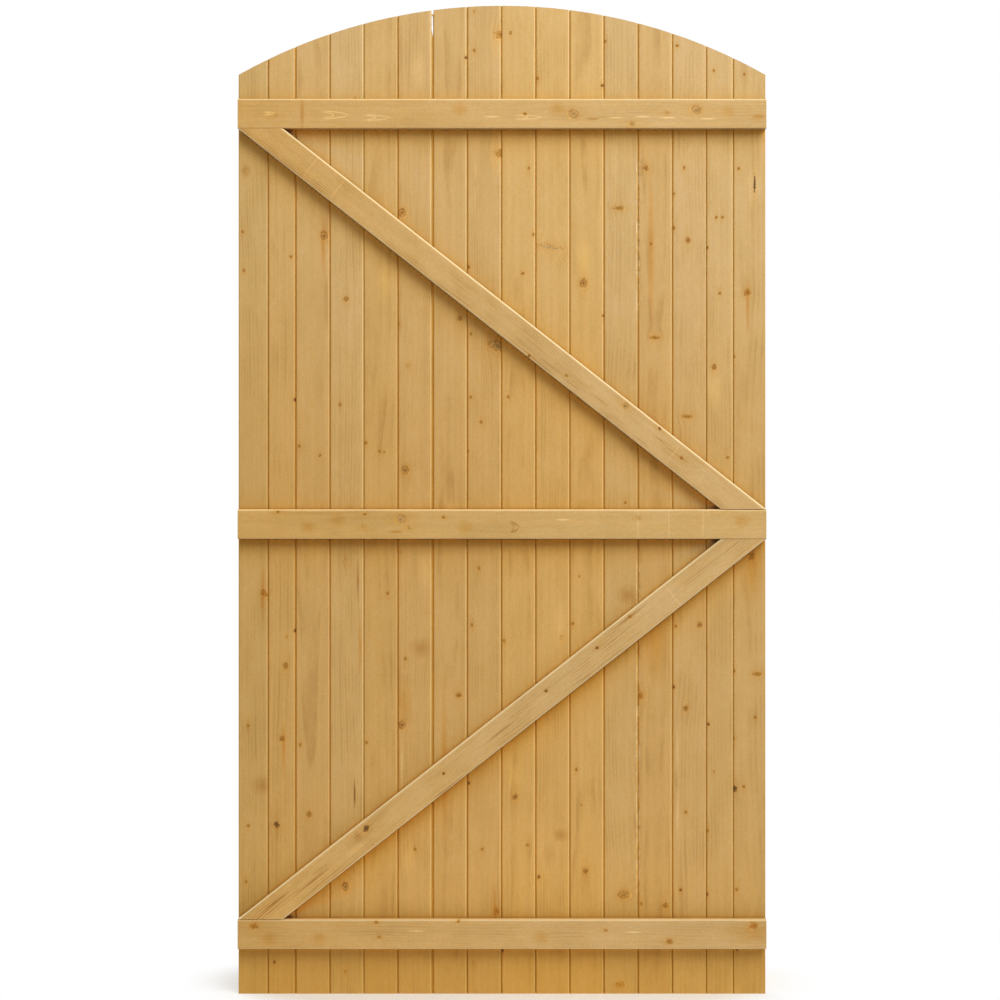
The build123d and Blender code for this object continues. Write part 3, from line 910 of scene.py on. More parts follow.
which_year = add(tree, "ShaderNodeTexWhiteNoise",
                 add(tree, MATH, add(tree, MATH, years, operation="FLOOR"), seed, operation="ADD"),
                 noise_dimensions="1D")
year_weight = add(tree, RANGE, which_year, 0.0, 1.0, weakest_year, 1.0)
late = add(tree, MATH, late, year_weight, operation="MULTIPLY")
print("with years:", len(tree.nodes), "nodes")

# %% [markdown]
# ### Fibres, stripes and patches
# Between the rings run fibres, long and fine. Over them lie broader stripes, where one side of
# the trunk grew faster, and slow patches where the wood took more or less glaze. Each is a noise
# drawn out along the grain. They use the bent place too, so they pass a knot as the rings do,
# but the glaze doesn't: it was brushed on later.

# %% Fibres, stripes, patches and glaze
fibre_width = 1.3     # real fibres are finer, this is as coarse as it needs to show
stripe_width = 8.0
patch_waves = (0.02, 0.02, 0.009)   # in a millimetre: patches 50 mm wide and 110 mm long
glaze_waves = (0.16, 0.16, 0.07)    # brush marks 6 mm wide and 14 mm long
fibre_place = add(tree, VECTOR, add(tree, VECTOR, grown, (1 / fibre_width, 1 / fibre_width, 0.04),
                                    operation="MULTIPLY"), shift, operation="ADD")
fibre = add(tree, NOISE, fibre_place, 1.0, 3.0, 0.6, noise_dimensions="3D")
stripe_place = add(tree, VECTOR, add(tree, VECTOR, grown,
                                     (1 / stripe_width, 1 / stripe_width, 0.0022),
                                     operation="MULTIPLY"), shift, operation="ADD")
stripe = add(tree, NOISE, stripe_place, 1.0, 2.0, 0.55, noise_dimensions="3D")
patch_place = add(tree, VECTOR, add(tree, VECTOR, grown, patch_waves, operation="MULTIPLY"), shift,
                  operation="ADD")
patch = add(tree, NOISE, patch_place, 1.0, 3.0, 0.55, noise_dimensions="3D")
glaze_place = add(tree, VECTOR, add(tree, VECTOR, place, glaze_waves, operation="MULTIPLY"), shift,
                  operation="ADD")
glaze = add(tree, NOISE, glaze_place, 1.0, 3.0, 0.6, noise_dimensions="3D")
print("with fibres and glaze:", len(tree.nodes), "nodes")

# %% [markdown]
# ### The colour of the wood
# It is built as a painter glazes, layer on layer. The seasons come first, from pale early wood
# to brown late wood. Fibres, stripes and patches then lighten or darken it by a few parts in a
# hundred. The glaze lies thicker in some places, and those turn honey. Last comes the timber's
# own tone. A single ramp from one noise would be shorter, but then light, hue and pattern would
# all change together, which real wood never does.

# %% Colour of the wood
early_wood, late_wood = linear("#DEB97C"), linear("#A97430")
ring_contrast = add(tree, MATH, add(tree, RANGE, patch, 0.56, 0.38, 0.05, 1.0), strength,
                    operation="MULTIPLY")
colour = add(tree, MIX, add(tree, MATH, late, ring_contrast, operation="MULTIPLY"), early_wood,
             late_wood, data_type="RGBA")
shade = add(tree, RANGE, fibre, 0.0, 1.0, 0.93, 1.07)
shade = add(tree, MATH, shade, add(tree, RANGE, stripe, 0.2, 0.8, 0.94, 1.06),
            operation="MULTIPLY")
shade = add(tree, MATH, shade, add(tree, RANGE, patch, 0.2, 0.8, 0.92, 1.08), operation="MULTIPLY")
colour = add(tree, VECTOR, colour, shade, operation="SCALE")
honey = add(tree, RANGE, glaze, 0.35, 0.72, 0.0, 0.8)
colour = add(tree, MIX, honey, colour, linear("#FCF5E1"), data_type="RGBA", blend_type="MULTIPLY")
greyed = add(tree, RANGE, patch, 0.45, 0.75, 0.0, 1.0)
colour = add(tree, MIX, greyed, colour, linear("#F3F4FF", 1.08), data_type="RGBA",
             blend_type="MULTIPLY")
fuzz_waves = (0.42, 0.42, 0.26)     # in a millimetre: pores and brush hairs, 2 to 4 mm
fuzz = add(tree, NOISE, add(tree, VECTOR, place, fuzz_waves, operation="MULTIPLY"), 1.0, 3.0, 0.65,
           noise_dimensions="3D")
colour = add(tree, VECTOR, colour, add(tree, RANGE, fuzz, 0.2, 0.8, 0.90, 1.10), operation="SCALE")
colour = add(tree, VECTOR, colour, add(tree, READ, attribute_name="tone").outputs["Vector"],
             operation="MULTIPLY")
print("with wood colours:", len(tree.nodes), "nodes")

# %% [markdown]
# ### Boards, and the painted warmth of the ledges' left ends
# Only boards measure how far off a ledge is. On other timbers that fact is missing and reads as
# zero, which tells the two apart. On boards it counts only on the ledged side, or the painted
# shade along the ledges would show through on the front. The ledges and braces are painted warmer
# towards their left ends, as painted light that falls whiter on their right ends. A slow slope
# along them gives it. A second material for that end would leave a seam.

# %% Which timber this is, and the painted warmth of the left ends
warm_end_length = 700.0
on_board = add(tree, MATH, add(tree, READ, attribute_name="rail_distance").outputs["Fac"], 0.02,
               operation="GREATER_THAN")
depth = add(tree, PARTS, place).outputs["Y"]
ledged_side = add(tree, RANGE, depth, 2.0, 6.0, 1.0, 0.0)
by_rail = add(tree, MATH, on_board, ledged_side, operation="MULTIPLY")

# painted light: ledges and braces warmer towards their left ends
painted_light_slope = add(tree, RANGE, height, 0.0, warm_end_length, 1.0, 0.0)
painted_light_slope = add(tree, MATH, painted_light_slope, add(tree, MATH, 1.0, on_board, operation="SUBTRACT"),
               operation="MULTIPLY")
colour = add(tree, MIX, painted_light_slope, colour, linear("#FCF3DA"), data_type="RGBA",
             blend_type="MULTIPLY")
print("with yellowed ends:", len(tree.nodes), "nodes")

# %% [markdown]
# ### Stains and flames
# Where the planer only grazes a ring, the ring shows as a pointed arch, a flame. Its two arms
# part as the root of the way back from the tip, as any parabola's do, and a second arch lies
# inside the first, one year deeper. Each face measures how far off the nearest arm is. With no
# opening the arms lie on each other, and the same nodes draw a plain streak or patch. A drawn
# curve for each flame would be truer, but the shader would need to look up every one of them.

# %% The nearest stain or flame
tip = 0.8             # how far the outer tip stands from the middle, in half heights
next_year = 0.95      # how far the inner arch lies behind the outer one
at_foot = 0.555       # makes the arms part by the opening at the foot of the flame
beyond_tip = 50.0     # pushes an arch out of reach past its own tip
fray = 0.25           # how far the fibres roughen a stain's rim
stain_size = add(tree, READ, attribute_name="stain_size").outputs["Vector"]
stain_spot = add(tree, READ, attribute_name="stain_spot").outputs["Vector"]
from_stain = add(tree, VECTOR, add(tree, VECTOR, face_place, stain_spot, operation="SUBTRACT"),
                 (1, 1, 0), operation="MULTIPLY")
opening = add(tree, PARTS, stain_spot).outputs["Z"]
stain_place = add(tree, PARTS, from_stain)
off_middle = add(tree, MATH, stain_place.outputs["X"], operation="ABSOLUTE")
flame_half = add(tree, PARTS, stain_size).outputs["Y"]
way_back = add(tree, MATH, tip, add(tree, MATH, stain_place.outputs["Y"], flame_half,
                                    operation="DIVIDE"), operation="SUBTRACT")
nearest_arm = off_middle
for behind in (0.0, next_year):
    back = add(tree, MATH, way_back, behind, operation="SUBTRACT")
    spread = add(tree, MATH, add(tree, MATH, back, at_foot, operation="MULTIPLY"),
                 operation="SQRT")
    arm = add(tree, MATH, spread, opening, operation="MULTIPLY")
    arm = add(tree, MATH, add(tree, MATH, off_middle, arm, operation="SUBTRACT"),
              operation="ABSOLUTE")
    past_tip = add(tree, MATH, add(tree, MATH, back, 0.0, operation="LESS_THAN"),
                   beyond_tip * behind, operation="MULTIPLY")
    arm = add(tree, MATH, arm, past_tip, operation="ADD")
    nearest_arm = arm if behind == 0.0 else add(tree, MATH, nearest_arm, arm, operation="MINIMUM")
from_stain = add(tree, WHOLE, nearest_arm, stain_place.outputs["Y"], 0.0)
stain_near = add(tree, VECTOR, add(tree, VECTOR, from_stain, stain_size, operation="DIVIDE"),
                 operation="LENGTH")
stain_near = add(tree, MATH, stain_near, add(tree, RANGE, fibre, 0.2, 0.8, -fray, fray),
                 operation="ADD")
softness = add(tree, PARTS, stain_size).outputs["Z"]
stain = add(tree, RANGE, stain_near, add(tree, MATH, 1.0, softness, operation="ADD"),
            add(tree, MATH, 1.0, softness, operation="SUBTRACT"), 0.0, 1.0)
stain_tint = add(tree, READ, attribute_name="stain_heart").outputs["Vector"]
colour = add(tree, MIX, stain, colour, stain_tint, data_type="RGBA", blend_type="MULTIPLY")
print("with stains:", len(tree.nodes), "nodes")

# %% [markdown]
# ### Joints, ends, painted edge highlights and torn wood
# Glaze pools in the joints, where no cloth reaches it, and it sinks into end grain, so both are
# darker and browner. Wood that the planer tore shows pale, and the lit long edges are painted pale
# as highlights. Every one of these is a fact that the geometry tree kept, so the tint sits exactly
# on the shape that caused it, and not on a mask that would have to be lined up with it.

# %% Joints, ends, painted edge highlights and torn wood
# the share below is how far torn wood and the painted edge highlights turn pale
bare_and_highlight_share = 0.9      # a little glaze stays even on bare wood
joint = add(tree, READ, attribute_name="joint").outputs["Fac"]
colour = add(tree, MIX, joint, colour, linear("#FFEFA6"), data_type="RGBA", blend_type="MULTIPLY")
end_grain = add(tree, READ, attribute_name="end_grain").outputs["Fac"]
colour = add(tree, MIX, end_grain, colour, linear("#E7D7BC"), data_type="RGBA",
             blend_type="MULTIPLY")
# painted highlight on the lit long edges: one pale colour for the boards, another for the ledges
# and braces
edge_highlight_colour = add(tree, MIX, on_board, linear("#F5E7BA"), linear("#F6E2A8"), data_type="RGBA")
edge_highlight_mix = add(tree, READ, attribute_name="arris").outputs["Fac"]
edge_highlight_mix = add(tree, MATH, edge_highlight_mix, bare_and_highlight_share, operation="MULTIPLY")
colour = add(tree, MIX, edge_highlight_mix, colour, edge_highlight_colour, data_type="RGBA")
torn_wood = add(tree, READ, attribute_name="raw").outputs["Fac"]
torn_wood = add(tree, MATH, torn_wood, bare_and_highlight_share, operation="MULTIPLY")
colour = add(tree, MIX, torn_wood, colour, linear("#FBEFCF"), data_type="RGBA")
print("with edges and joints:", len(tree.nodes), "nodes")

# %% [markdown]
# ### Darker feet, and painted shade along the ledges
# The boards are tinted darker and warmer towards their feet. Along each ledge and brace they carry
# painted shade: a thin brown line on top, darker bands above and round the timber, and a wider,
# warmer band under it, with painted light lifting the shade right at its lower edge. Each band
# fades with distance, so each is an exponential of its own reach in millimetres. One gradient
# could not be both a hair line and a hand's breadth.

# %% Darker feet and painted shade along the ledges
# the boards are tinted darker and warmer towards their feet
foot_darkening = add(tree, READ, attribute_name="foot_darkening").outputs["Fac"]
colour = add(tree, MIX, foot_darkening, colour, linear("#F6E2AD"), data_type="RGBA",
             blend_type="MULTIPLY")
foot = add(tree, RANGE, foot_darkening, 0.6, 1.0, 0.0, 1.0)
colour = add(tree, MIX, foot, colour, linear("#E8EAE5"), data_type="RGBA", blend_type="MULTIPLY")
off_rail = add(tree, READ, attribute_name="rail_distance").outputs["Fac"]
under_rail = add(tree, MATH, add(tree, READ, attribute_name="rail_above").outputs["Fac"], by_rail,
                 operation="MULTIPLY")
over_rail = add(tree, MATH, by_rail, under_rail, operation="SUBTRACT")
off_foot = add(tree, MATH, 1.0, add(tree, MATH, foot, 0.6, operation="MULTIPLY"),
               operation="SUBTRACT")
painted_warm_shade_mask = add(tree, MATH, under_rail, off_foot, operation="MULTIPLY")
# painted light and shade: the first band lifts the shade right under a timber, the next two paint
# warm shade below it, and the last three paint shade above and round it, the thinnest a contact
# shadow along its upper side
painted_light_and_shade_bands = (             # reach in millimetres, where, tint
    (5.0, under_rail, linear("#FBFFED", 1.6)),
    (26.0, painted_warm_shade_mask, linear("#FFEFB3")),
    (14.0, painted_warm_shade_mask, linear("#FDEFC5")),
    (18.0, over_rail, linear("#E7EADA")),
    (3.5, by_rail, linear("#F6EAC8")),
    (1.5, over_rail, linear("#BFA473")),
)
for reach, where, tint in painted_light_and_shade_bands:
    shade_falloff = add(tree, MATH, add(tree, MATH, off_rail, -1 / reach, operation="MULTIPLY"),
                   operation="EXPONENT")
    colour = add(tree, MIX, add(tree, MATH, shade_falloff, where, operation="MULTIPLY"), colour, tint,
                 data_type="RGBA", blend_type="MULTIPLY")
print("with glaze:", len(tree.nodes), "nodes")

# %% [markdown]
# ### A knot's surroundings and heart
# A knot is seen by four things: an amber flare along the grain, where resin soaked the wood, a
# honey halo, a paler collar on its lower right side, which is a painted highlight, and a heart
# with rings of its own, since a branch has years too. A photograph of a knot would be the quick
# way, but all knots would then be twins. Here they share one recipe, and size, tint and noise
# part them.

# %% Flare, halo, painted collar highlight and heart
flare_share = 0.45
collar_middle, collar_width = 1.35, 0.28      # in knots: 1 is the rim
heart_ring_turn = 11.0                        # 1.75 rings from the heart to the rim
flare = add(tree, MATH, swerve, flare_share, operation="MULTIPLY")
colour = add(tree, MIX, flare, colour, linear("#F8EAC5"), data_type="RGBA", blend_type="MULTIPLY")
halo = add(tree, RANGE, knot_near, 2.1, 1.0, 0.0, 0.5)
colour = add(tree, MIX, halo, colour, linear("#F3DDAA"), data_type="RGBA", blend_type="MULTIPLY")
low_side = add(tree, VECTOR, from_rim, (0.6, -0.7, 0), operation="DOT_PRODUCT").outputs["Value"]
# painted highlight: a paler collar on the knot's lower right side
collar_highlight = add(tree, MATH, add(tree, MATH, knot_near, collar_middle, operation="SUBTRACT"),
             operation="ABSOLUTE")
collar_highlight = add(tree, RANGE, collar_highlight, 0.0, collar_width, 0.9, 0.0)
collar_highlight = add(tree, MATH, collar_highlight, add(tree, RANGE, low_side, -0.8, 1.0, 0.0, 1.0),
             operation="MULTIPLY")
colour = add(tree, MIX, collar_highlight, colour, linear("#FBFFFB", 1.27), data_type="RGBA",
             blend_type="MULTIPLY")
heart = add(tree, RANGE, knot_near, 1.08, 0.75, 0.0, 0.8)
heart_rings = add(tree, MATH, add(tree, MATH, knot_near, heart_ring_turn, operation="MULTIPLY"),
                  operation="SINE")
heart_rings = add(tree, RANGE, heart_rings, -1.0, 1.0, 0.78, 1.16)
heart_rings = add(tree, MATH, heart_rings, add(tree, RANGE, fuzz, 0.3, 0.7, 0.8, 1.2),
                  operation="MULTIPLY")
heart_colour = add(tree, VECTOR, add(tree, READ, attribute_name="knot_heart").outputs["Vector"],
                   heart_rings, operation="SCALE")
colour = add(tree, MIX, heart, colour, heart_colour, data_type="RGBA")
print("with knot hearts:", len(tree.nodes), "nodes")

# %% [markdown]
# ### A knot's dark rim
# A branch that died before the trunk grew round it keeps a thin band of bark, and that is the
# dark line round a knot. It is rarely whole: a noise breaks it, and it fades on the side of the
# painted collar highlight. The same dark tint marks the pith in the middle of the branch.

# %% Dark rim and pith of a knot
rim_middle, rim_width = 0.92, 0.26            # in knots: 1 is the rim
rim_breaks = (0.14, 0.14, 0.14)               # in a millimetre: gaps every 7 mm
core = add(tree, RANGE, knot_near, 0.5, 0.15, 0.0, 0.75)
rim = add(tree, MATH, add(tree, MATH, knot_near, rim_middle, operation="SUBTRACT"),
          operation="ABSOLUTE")
rim = add(tree, RANGE, rim, 0.0, rim_width, 1.0, 0.0)
broken = add(tree, NOISE, add(tree, VECTOR, place, rim_breaks, operation="MULTIPLY"), 1.0, 1.0,
             0.5, noise_dimensions="3D")
rim = add(tree, MATH, rim, add(tree, RANGE, broken, 0.34, 0.56, 0.3, 1.0), operation="MULTIPLY")
# the rim fades on the side of the painted collar highlight
rim = add(tree, MATH, rim, add(tree, RANGE, low_side, 1.0, -0.6, 0.35, 1.0), operation="MULTIPLY")
rim = add(tree, MATH, rim, core, operation="MAXIMUM")
colour = add(tree, MIX, rim, colour, add(tree, READ, attribute_name="knot_rim").outputs["Vector"],
             data_type="RGBA")
print("with knot rims:", len(tree.nodes), "nodes")

# %% [markdown]
# ### Sheen and relief
# Where the glaze lies thick the surface is a little smoother, so the roughness follows the
# glaze. Fibres and late wood stand up and the rim of a knot has sunk. That could be real
# displacement, but at a twentieth of a millimetre it would need millions of faces, so it
# leaves the group as a height for a bump.

# %% Sheen and relief
smoothest, roughest = 0.36, 0.50
rough = add(tree, RANGE, glaze, 0.2, 0.8, smoothest, roughest)
relief = add(tree, MATH, add(tree, MATH, fibre, 0.5, operation="MULTIPLY"),
             add(tree, MATH, late, 0.5, operation="MULTIPLY"), operation="ADD")
relief = add(tree, MATH, relief, add(tree, MATH, rim, 0.6, operation="MULTIPLY"),
             operation="SUBTRACT")
add(tree, "NodeGroupOutput", colour, rough, relief)
print("spruce grain:", len(tree.nodes), "nodes")

# %% [markdown]
# ## Three wood finishes
# The finish itself is short: the group's colour and roughness go to the shader, and its relief
# becomes a shallow bump, less than a tenth of a millimetre high, so that a low light catches the
# fibres. The number that is the same everywhere, the index of refraction of a thin oil glaze,
# sits on the shader's own socket. The three kinds of timber were cut from different stock, so
# they differ in how wide and how strong their rings are. Three groups would say the same thing
# three times over.

# %% Wood finishes
oil_glaze_ior = 1.47
glaze_gleam = 0.3     # less than a polished coat, because the glaze has sunk in


def glazed_spruce(name, ring_contrast, ring_width, relief_height):
    """Planed spruce under a thin honey glaze."""
    material = bpy.data.materials.new(name)
    material.use_nodes = True
    tree = material.node_tree
    tree.nodes.clear()
    grain = add(tree, "ShaderNodeGroup", node_tree=spruce)
    grain.inputs["Ring contrast"].default_value = ring_contrast
    grain.inputs["Ring width"].default_value = ring_width
    bump = add(tree, "ShaderNodeBump")
    bump.inputs["Strength"].default_value = 0.6
    bump.inputs["Distance"].default_value = relief_height
    tree.links.new(grain.outputs["Relief"], bump.inputs["Height"])
    shader = add(tree, "ShaderNodeBsdfPrincipled", grain.outputs["Colour"], 0.0,
                 grain.outputs["Roughness"], oil_glaze_ior, 1.0, bump)
    shader.inputs["Specular IOR Level"].default_value = glaze_gleam
    add(tree, "ShaderNodeOutputMaterial", shader)
    return material


# Matchboard stock, finely planed: calm rings and a soft satin sheen that breaks only at knots
board_finish = glazed_spruce("spruce_boards_planed_honey_glaze", ring_contrast=0.34,
                             ring_width=4.6, relief_height=0.06 * MM)
# Slower grown ledges, planed a little coarser: narrow quiet rings, and fibres that catch the light
ledge_finish = glazed_spruce("spruce_ledges_planed_honey_glaze", ring_contrast=0.28,
                             ring_width=3.8, relief_height=0.08 * MM)
# Braces from the outside of a log: narrow rings with strong brown lines, and the coarsest planing
brace_finish = glazed_spruce("spruce_braces_planed_honey_glaze", ring_contrast=0.95,
                             ring_width=3.2, relief_height=0.10 * MM)
print("finishes:", board_finish.name, ledge_finish.name, brace_finish.name)

# %% [markdown]
# ## Zinc on the staples
# The staples are drawn steel wire with a bright zinc coat. Zinc is a grey metal with a faint blue,
# and under the gun it is scuffed along the crown, so the roughness changes over short distances.
# One even grey would look like plastic. Their CAD nodes already have the right shape and keep
# it, and only take the finish.

# %% Staples
scuff_waves = 900.0   # in a metre: scuffs about a millimetre long
# Drawn and galvanised, so each crown gives small broken glints, brighter where it was rubbed
zinc = bpy.data.materials.new("zinc_coated_steel_wire")
zinc.use_nodes = True
tree = zinc.node_tree
tree.nodes.clear()
scuff = add(tree, NOISE, add(tree, "ShaderNodeTexCoord").outputs["Object"], scuff_waves, 3.0, 0.6,
            noise_dimensions="3D")
shine = add(tree, RANGE, scuff, 0.3, 0.7, 0.28, 0.55)
metal = add(tree, RANGE, scuff, 0.3, 0.7, 0.0, 1.0)
metal = add(tree, MIX, metal, linear("#B9BDC0"), linear("#9A9D9E"), data_type="RGBA")
add(tree, "ShaderNodeOutputMaterial", add(tree, "ShaderNodeBsdfPrincipled", metal, 1.0, shine))
for name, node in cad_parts.items():
    if name.endswith("_staples"):
        node.data.materials.clear()
        node.data.materials.append(zinc)
        print(name, len(node.data.polygons), "faces")

# %% [markdown]
# ## How each timber grew
# No two boards came from the same log, or from the same side of it. A small table gives each one
# its pith, across from the left shoulder and behind or in front of the back face, and its tone.
# The tones are partly each timber's own colour and partly painted light: the boards on the right
# are paler and cooler, as if lit from the right, and the bottom ledge is darker as painted shade.
# A pith far off the board gives straight stripes, and one close behind it gives long flames. A
# random number for each would be easier, but the boards of this leaf are known.

# %% Growth and shade
# tones: partly each timber's own colour, partly painted light and shade
shades = {
    "pale": linear("#FFFEF5", 1.05),
    "silvery": linear("#EFF3FF", 1.18),
    "honey": linear("#FFFFFF"),
    "golden": linear("#FFFEF6"),
    "dull": linear("#FAFCF8"),
    "ashen": linear("#F3F7FF", 1.12),
    "shaded": linear("#F1F1F2"),
}
growth = {
    "board_01": (70, -40, "dull"), "board_02": (-30, -60, "golden"),
    "board_03": (30, -75, "honey"), "board_04": (80, -35, "ashen"),
    "board_05": (20, -90, "golden"), "board_06": (-15, -40, "honey"),
    "board_07": (35, -60, "honey"), "board_08": (90, -25, "honey"),
    "board_09": (30, -50, "pale"), "board_10": (-40, -50, "pale"),
    "board_11": (28, -65, "pale"), "board_12": (75, -60, "ashen"),
    "board_13": (25, -55, "honey"), "board_14": (-20, -70, "silvery"),
    "board_15": (60, -45, "ashen"), "board_16": (20, -60, "ashen"),
    "top_ledge": (-50, 40, "honey"), "middle_ledge": (10, 70, "golden"),
    "bottom_ledge": (60, 50, "shaded"), "upper_brace": (-60, 34, "honey"),
    "lower_brace": (50, 36, "honey"),
}


def grown_as(name):
    """Pith with a seed of its own, and tone, for one timber."""
    across, depth, shade_name = growth[name]
    return {"Pith": (across, depth, 1 + list(growth).index(name)), "Tone": shades[shade_name][:3]}


print("timbers to grow:", len(growth))

# %% [markdown]
# ## From tree to timber
# The modifier is only a workshop: once the timber is made, its mesh is kept as a plain one and the
# modifier goes. It could stay live, but a plain mesh can be exported and moved by anyone. The
# new piece stands for its CAD node, which is hidden, and rides on the gate's only body. The
# tree's inputs are set by their identifiers, because two sockets may share a name.

# %% Make a timber
seed_step = 3.7       # any step will do that never brings two timbers to the same noise


def make_timber(name, points, tree, sizes, finish):
    """Run one timber through its tree and put it in the CAD node's place."""
    blank = outline_object(name + "_outline", points)
    bpy.context.scene.collection.objects.link(blank)
    knot_points = mark_points(name + "_knots", knots[name], knot_kinds, "knot")
    stain_points = mark_points(name + "_stains", stains[name], stain_kinds, "stain")
    workshop = blank.modifiers.new("Timber", "NODES")
    workshop.node_group = tree
    sockets = {item.name: item.identifier for item in tree.interface.items_tree
               if item.in_out == "INPUT"}
    sizes = {**sizes, **grown_as(name), "Knots": knot_points, "Stains": stain_points,
             "Finish": finish, "Seed": seed_step * list(growth).index(name)}
    for size_name, value in sizes.items():
        workshop[sockets[size_name]] = value
    graph = bpy.context.evaluated_depsgraph_get()
    mesh = bpy.data.meshes.new_from_object(blank.evaluated_get(graph),
                                           preserve_all_data_layers=True, depsgraph=graph)
    piece = bpy.data.objects.new("timber_" + name, mesh)
    bpy.context.scene.collection.objects.link(piece)
    for spare in (blank, knot_points, stain_points):
        bpy.data.objects.remove(spare)
    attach(piece, "root")
    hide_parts(name)
    print(piece.name, len(mesh.polygons), "faces,", [round(size, 4) for size in piece.dimensions])
    return piece


print("inputs of the board tree:", len(board_tree.interface.items_tree) - 1)

# %% [markdown]
# ## The split tongue
# At the top of the sixth joint the tongue has split away, and light shows through. A notch and a
# narrow slit are cut from that board alone, with a bridge of fibres left between them. A dark
# line would pass for it from the front, but from the side and against the light only a real gap
# does.

# %% Cutter for the split


def prism(outlines):
    """Upright outlines in millimetres, given depth right through the boards."""
    corners, faces = [], []
    through = 30 * MM
    for outline in outlines:
        first, count = len(corners), len(outline)
        corners += [(x * MM, depth, z * MM) for depth in (-through, through) for x, z in outline]
        faces.append([first + index for index in range(count)])
        faces.append([first + count + index for index in reversed(range(count))])
        for index in range(count):
            after = (index + 1) % count
            faces.append([first + after, first + index, first + count + index,
                          first + count + after])
    mesh = bpy.data.meshes.new("split")
    mesh.from_pydata(corners, [], faces)
    return bpy.data.objects.new("split", mesh)


split_side = board_shoulders["board_06"][1]
split_crown = crown - arch_radius + math.sqrt(arch_radius**2 - split_side**2)
notch_foot = split_crown - 6.5
slit_top = notch_foot - 3.0
slit_bend = slit_top - 25.3
slit_foot = slit_top - 38
past_tongue, above_crown = split_side + 9, crown + 5
notch = [(split_side - 0.1, above_crown), (split_side - 0.1, notch_foot),
         (past_tongue, notch_foot), (past_tongue, above_crown)]
slit = [(split_side, slit_top), (split_side, slit_bend), (split_side + 2.4, slit_foot),
        (split_side + 3.0, slit_bend), (split_side + 2.4, slit_top)]
split_cutter = prism([notch, slit])
print("split from", round(slit_foot), "to", round(split_crown), "mm")

# %% [markdown]
# ## Sixteen boards
# Now the boards are made, from left to right. What differs from board to board is handed to the
# one tree: where it stands, whether it has a groove and a tongue, how worn its lit edge is and how
# strong the painted highlight on it is, and where it was torn or split. Copying one board sixteen
# times would be faster, but the two outer boards have no partner to lock into, and no two joints
# wore alike.

# %% Make the boards
# boards whose lit edge is less worn and carries a fainter painted highlight
faint_edge_wear_and_highlight = ("board_01", "board_02", "board_03", "board_05", "board_12", "board_14")
ring_spacing = 4 * MM
edge_wander = 0.5 * MM
tear_depth = 1.2 * MM
for name in board_names:
    left, right = board_shoulders[name]
    edge_wear_and_highlight = 0.3 if name in faint_edge_wear_and_highlight else 0.7
    torn_left, torn_right = int(name == "board_13"), int(name == "board_12")
    points = board_outline(left, right, name != first_board, name != last_board, edge_wear_and_highlight,
                           torn_left, torn_right)
    sizes = {"Ring spacing": ring_spacing, "Crown": crown * MM, "Arch radius": arch_radius * MM,
             "Left shoulder": left * MM, "Edge wander": edge_wander, "Tear depth": tear_depth}
    if name == "board_06":
        sizes["Split"] = split_cutter
    make_timber(name, points, board_tree, sizes, board_finish)
bpy.data.objects.remove(split_cutter)
print("boards made:", len(board_names))

# %% [markdown]
# ## Three ledges
# A ledge lies level across all the boards and is what they are fixed to. Its box in the CAD
# model gives its length, height and place, and its tree lays it on its side with a quarter turn.

# %% Make the ledges
rail_spacing = 5 * MM
rail_wander = 0.6 * MM
# how worn the upper edges are and how strong their painted highlight is
ledge_wear_and_highlight, brace_wear_and_highlight = 0.5, 1.0
for name in ledge_names:
    low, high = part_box(name)
    sizes = {"Ring spacing": rail_spacing, "Length": high.x - low.x, "End slope": 0.0,
             "Turn": math.pi / 2, "Start": (low.x, 0, (low.z + high.z) / 2),
             "Edge wander": rail_wander}
    outline = rail_outline((high.z - low.z) / MM, ledge_wear_and_highlight)
    make_timber(name, outline, rail_tree, sizes, ledge_finish)
print("ledges made:", len(ledge_names))

# %% [markdown]
# ## Two braces
# A brace keeps the leaf from sagging. It runs from ledge to ledge, and both its ends are sawn
# level. How steep it is depends on how long its level foot is, and that depends on how steep it
# is, so the two are worked out in turn until they agree. A carpenter does the same with a
# bevel, sliding the timber until both ends meet their ledges. Solving it on paper gives one
# answer at once, but hides what is being asked.

# %% Make the braces
brace_width = 52.0
enough_turns = 30
for name, rising in (("upper_brace", -1), ("lower_brace", 1)):
    low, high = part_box(name)
    tall, foot = high.z - low.z, brace_width * MM
    for _ in range(enough_turns):
        slope = math.atan2(tall, high.x - low.x - foot)
        foot = brace_width * MM / math.sin(slope)
    slope *= rising
    sizes = {"Ring spacing": rail_spacing, "Length": tall / math.sin(abs(slope)),
             "End slope": 1 / math.tan(slope), "Turn": math.pi / 2 - slope,
             "Start": (low.x + foot / 2, 0, low.z if rising > 0 else high.z),
             "Edge wander": rail_wander}
    outline = rail_outline(brace_width, brace_wear_and_highlight)
    make_timber(name, outline, rail_tree, sizes, brace_finish)
    print(name, "lies at", round(math.degrees(slope), 1), "degrees")

# %% [markdown]
# ## The floor
# The leaf stands on a plain pale floor against white. The floor carries its shadow, and it has to
# fade into the white before it ends. A huge plane would need no fading, but its far edge would
# draw a horizon behind the gate. So this is an oval, and its rim turns by degrees to the same
# white as the background, for the camera alone.

# %% Floor
floor_behind = 0.14
floor_half_wide, floor_half_deep = 0.64, 0.46
fade_start, fade_end = 0.66, 0.97       # from the floor's middle (0) to its rim (1)
floor_mesh = bpy.data.meshes.new("floor")
rim_angles = [math.radians(degrees) for degrees in range(0, 360, 10)]
floor_rim = [(floor_half_wide * math.cos(angle),
              floor_behind + floor_half_deep * math.sin(angle), 0) for angle in rim_angles]
floor_mesh.from_pydata(floor_rim, [], [list(range(len(floor_rim)))])
floor = bpy.data.objects.new("floor", floor_mesh)
bpy.context.scene.collection.objects.link(floor)
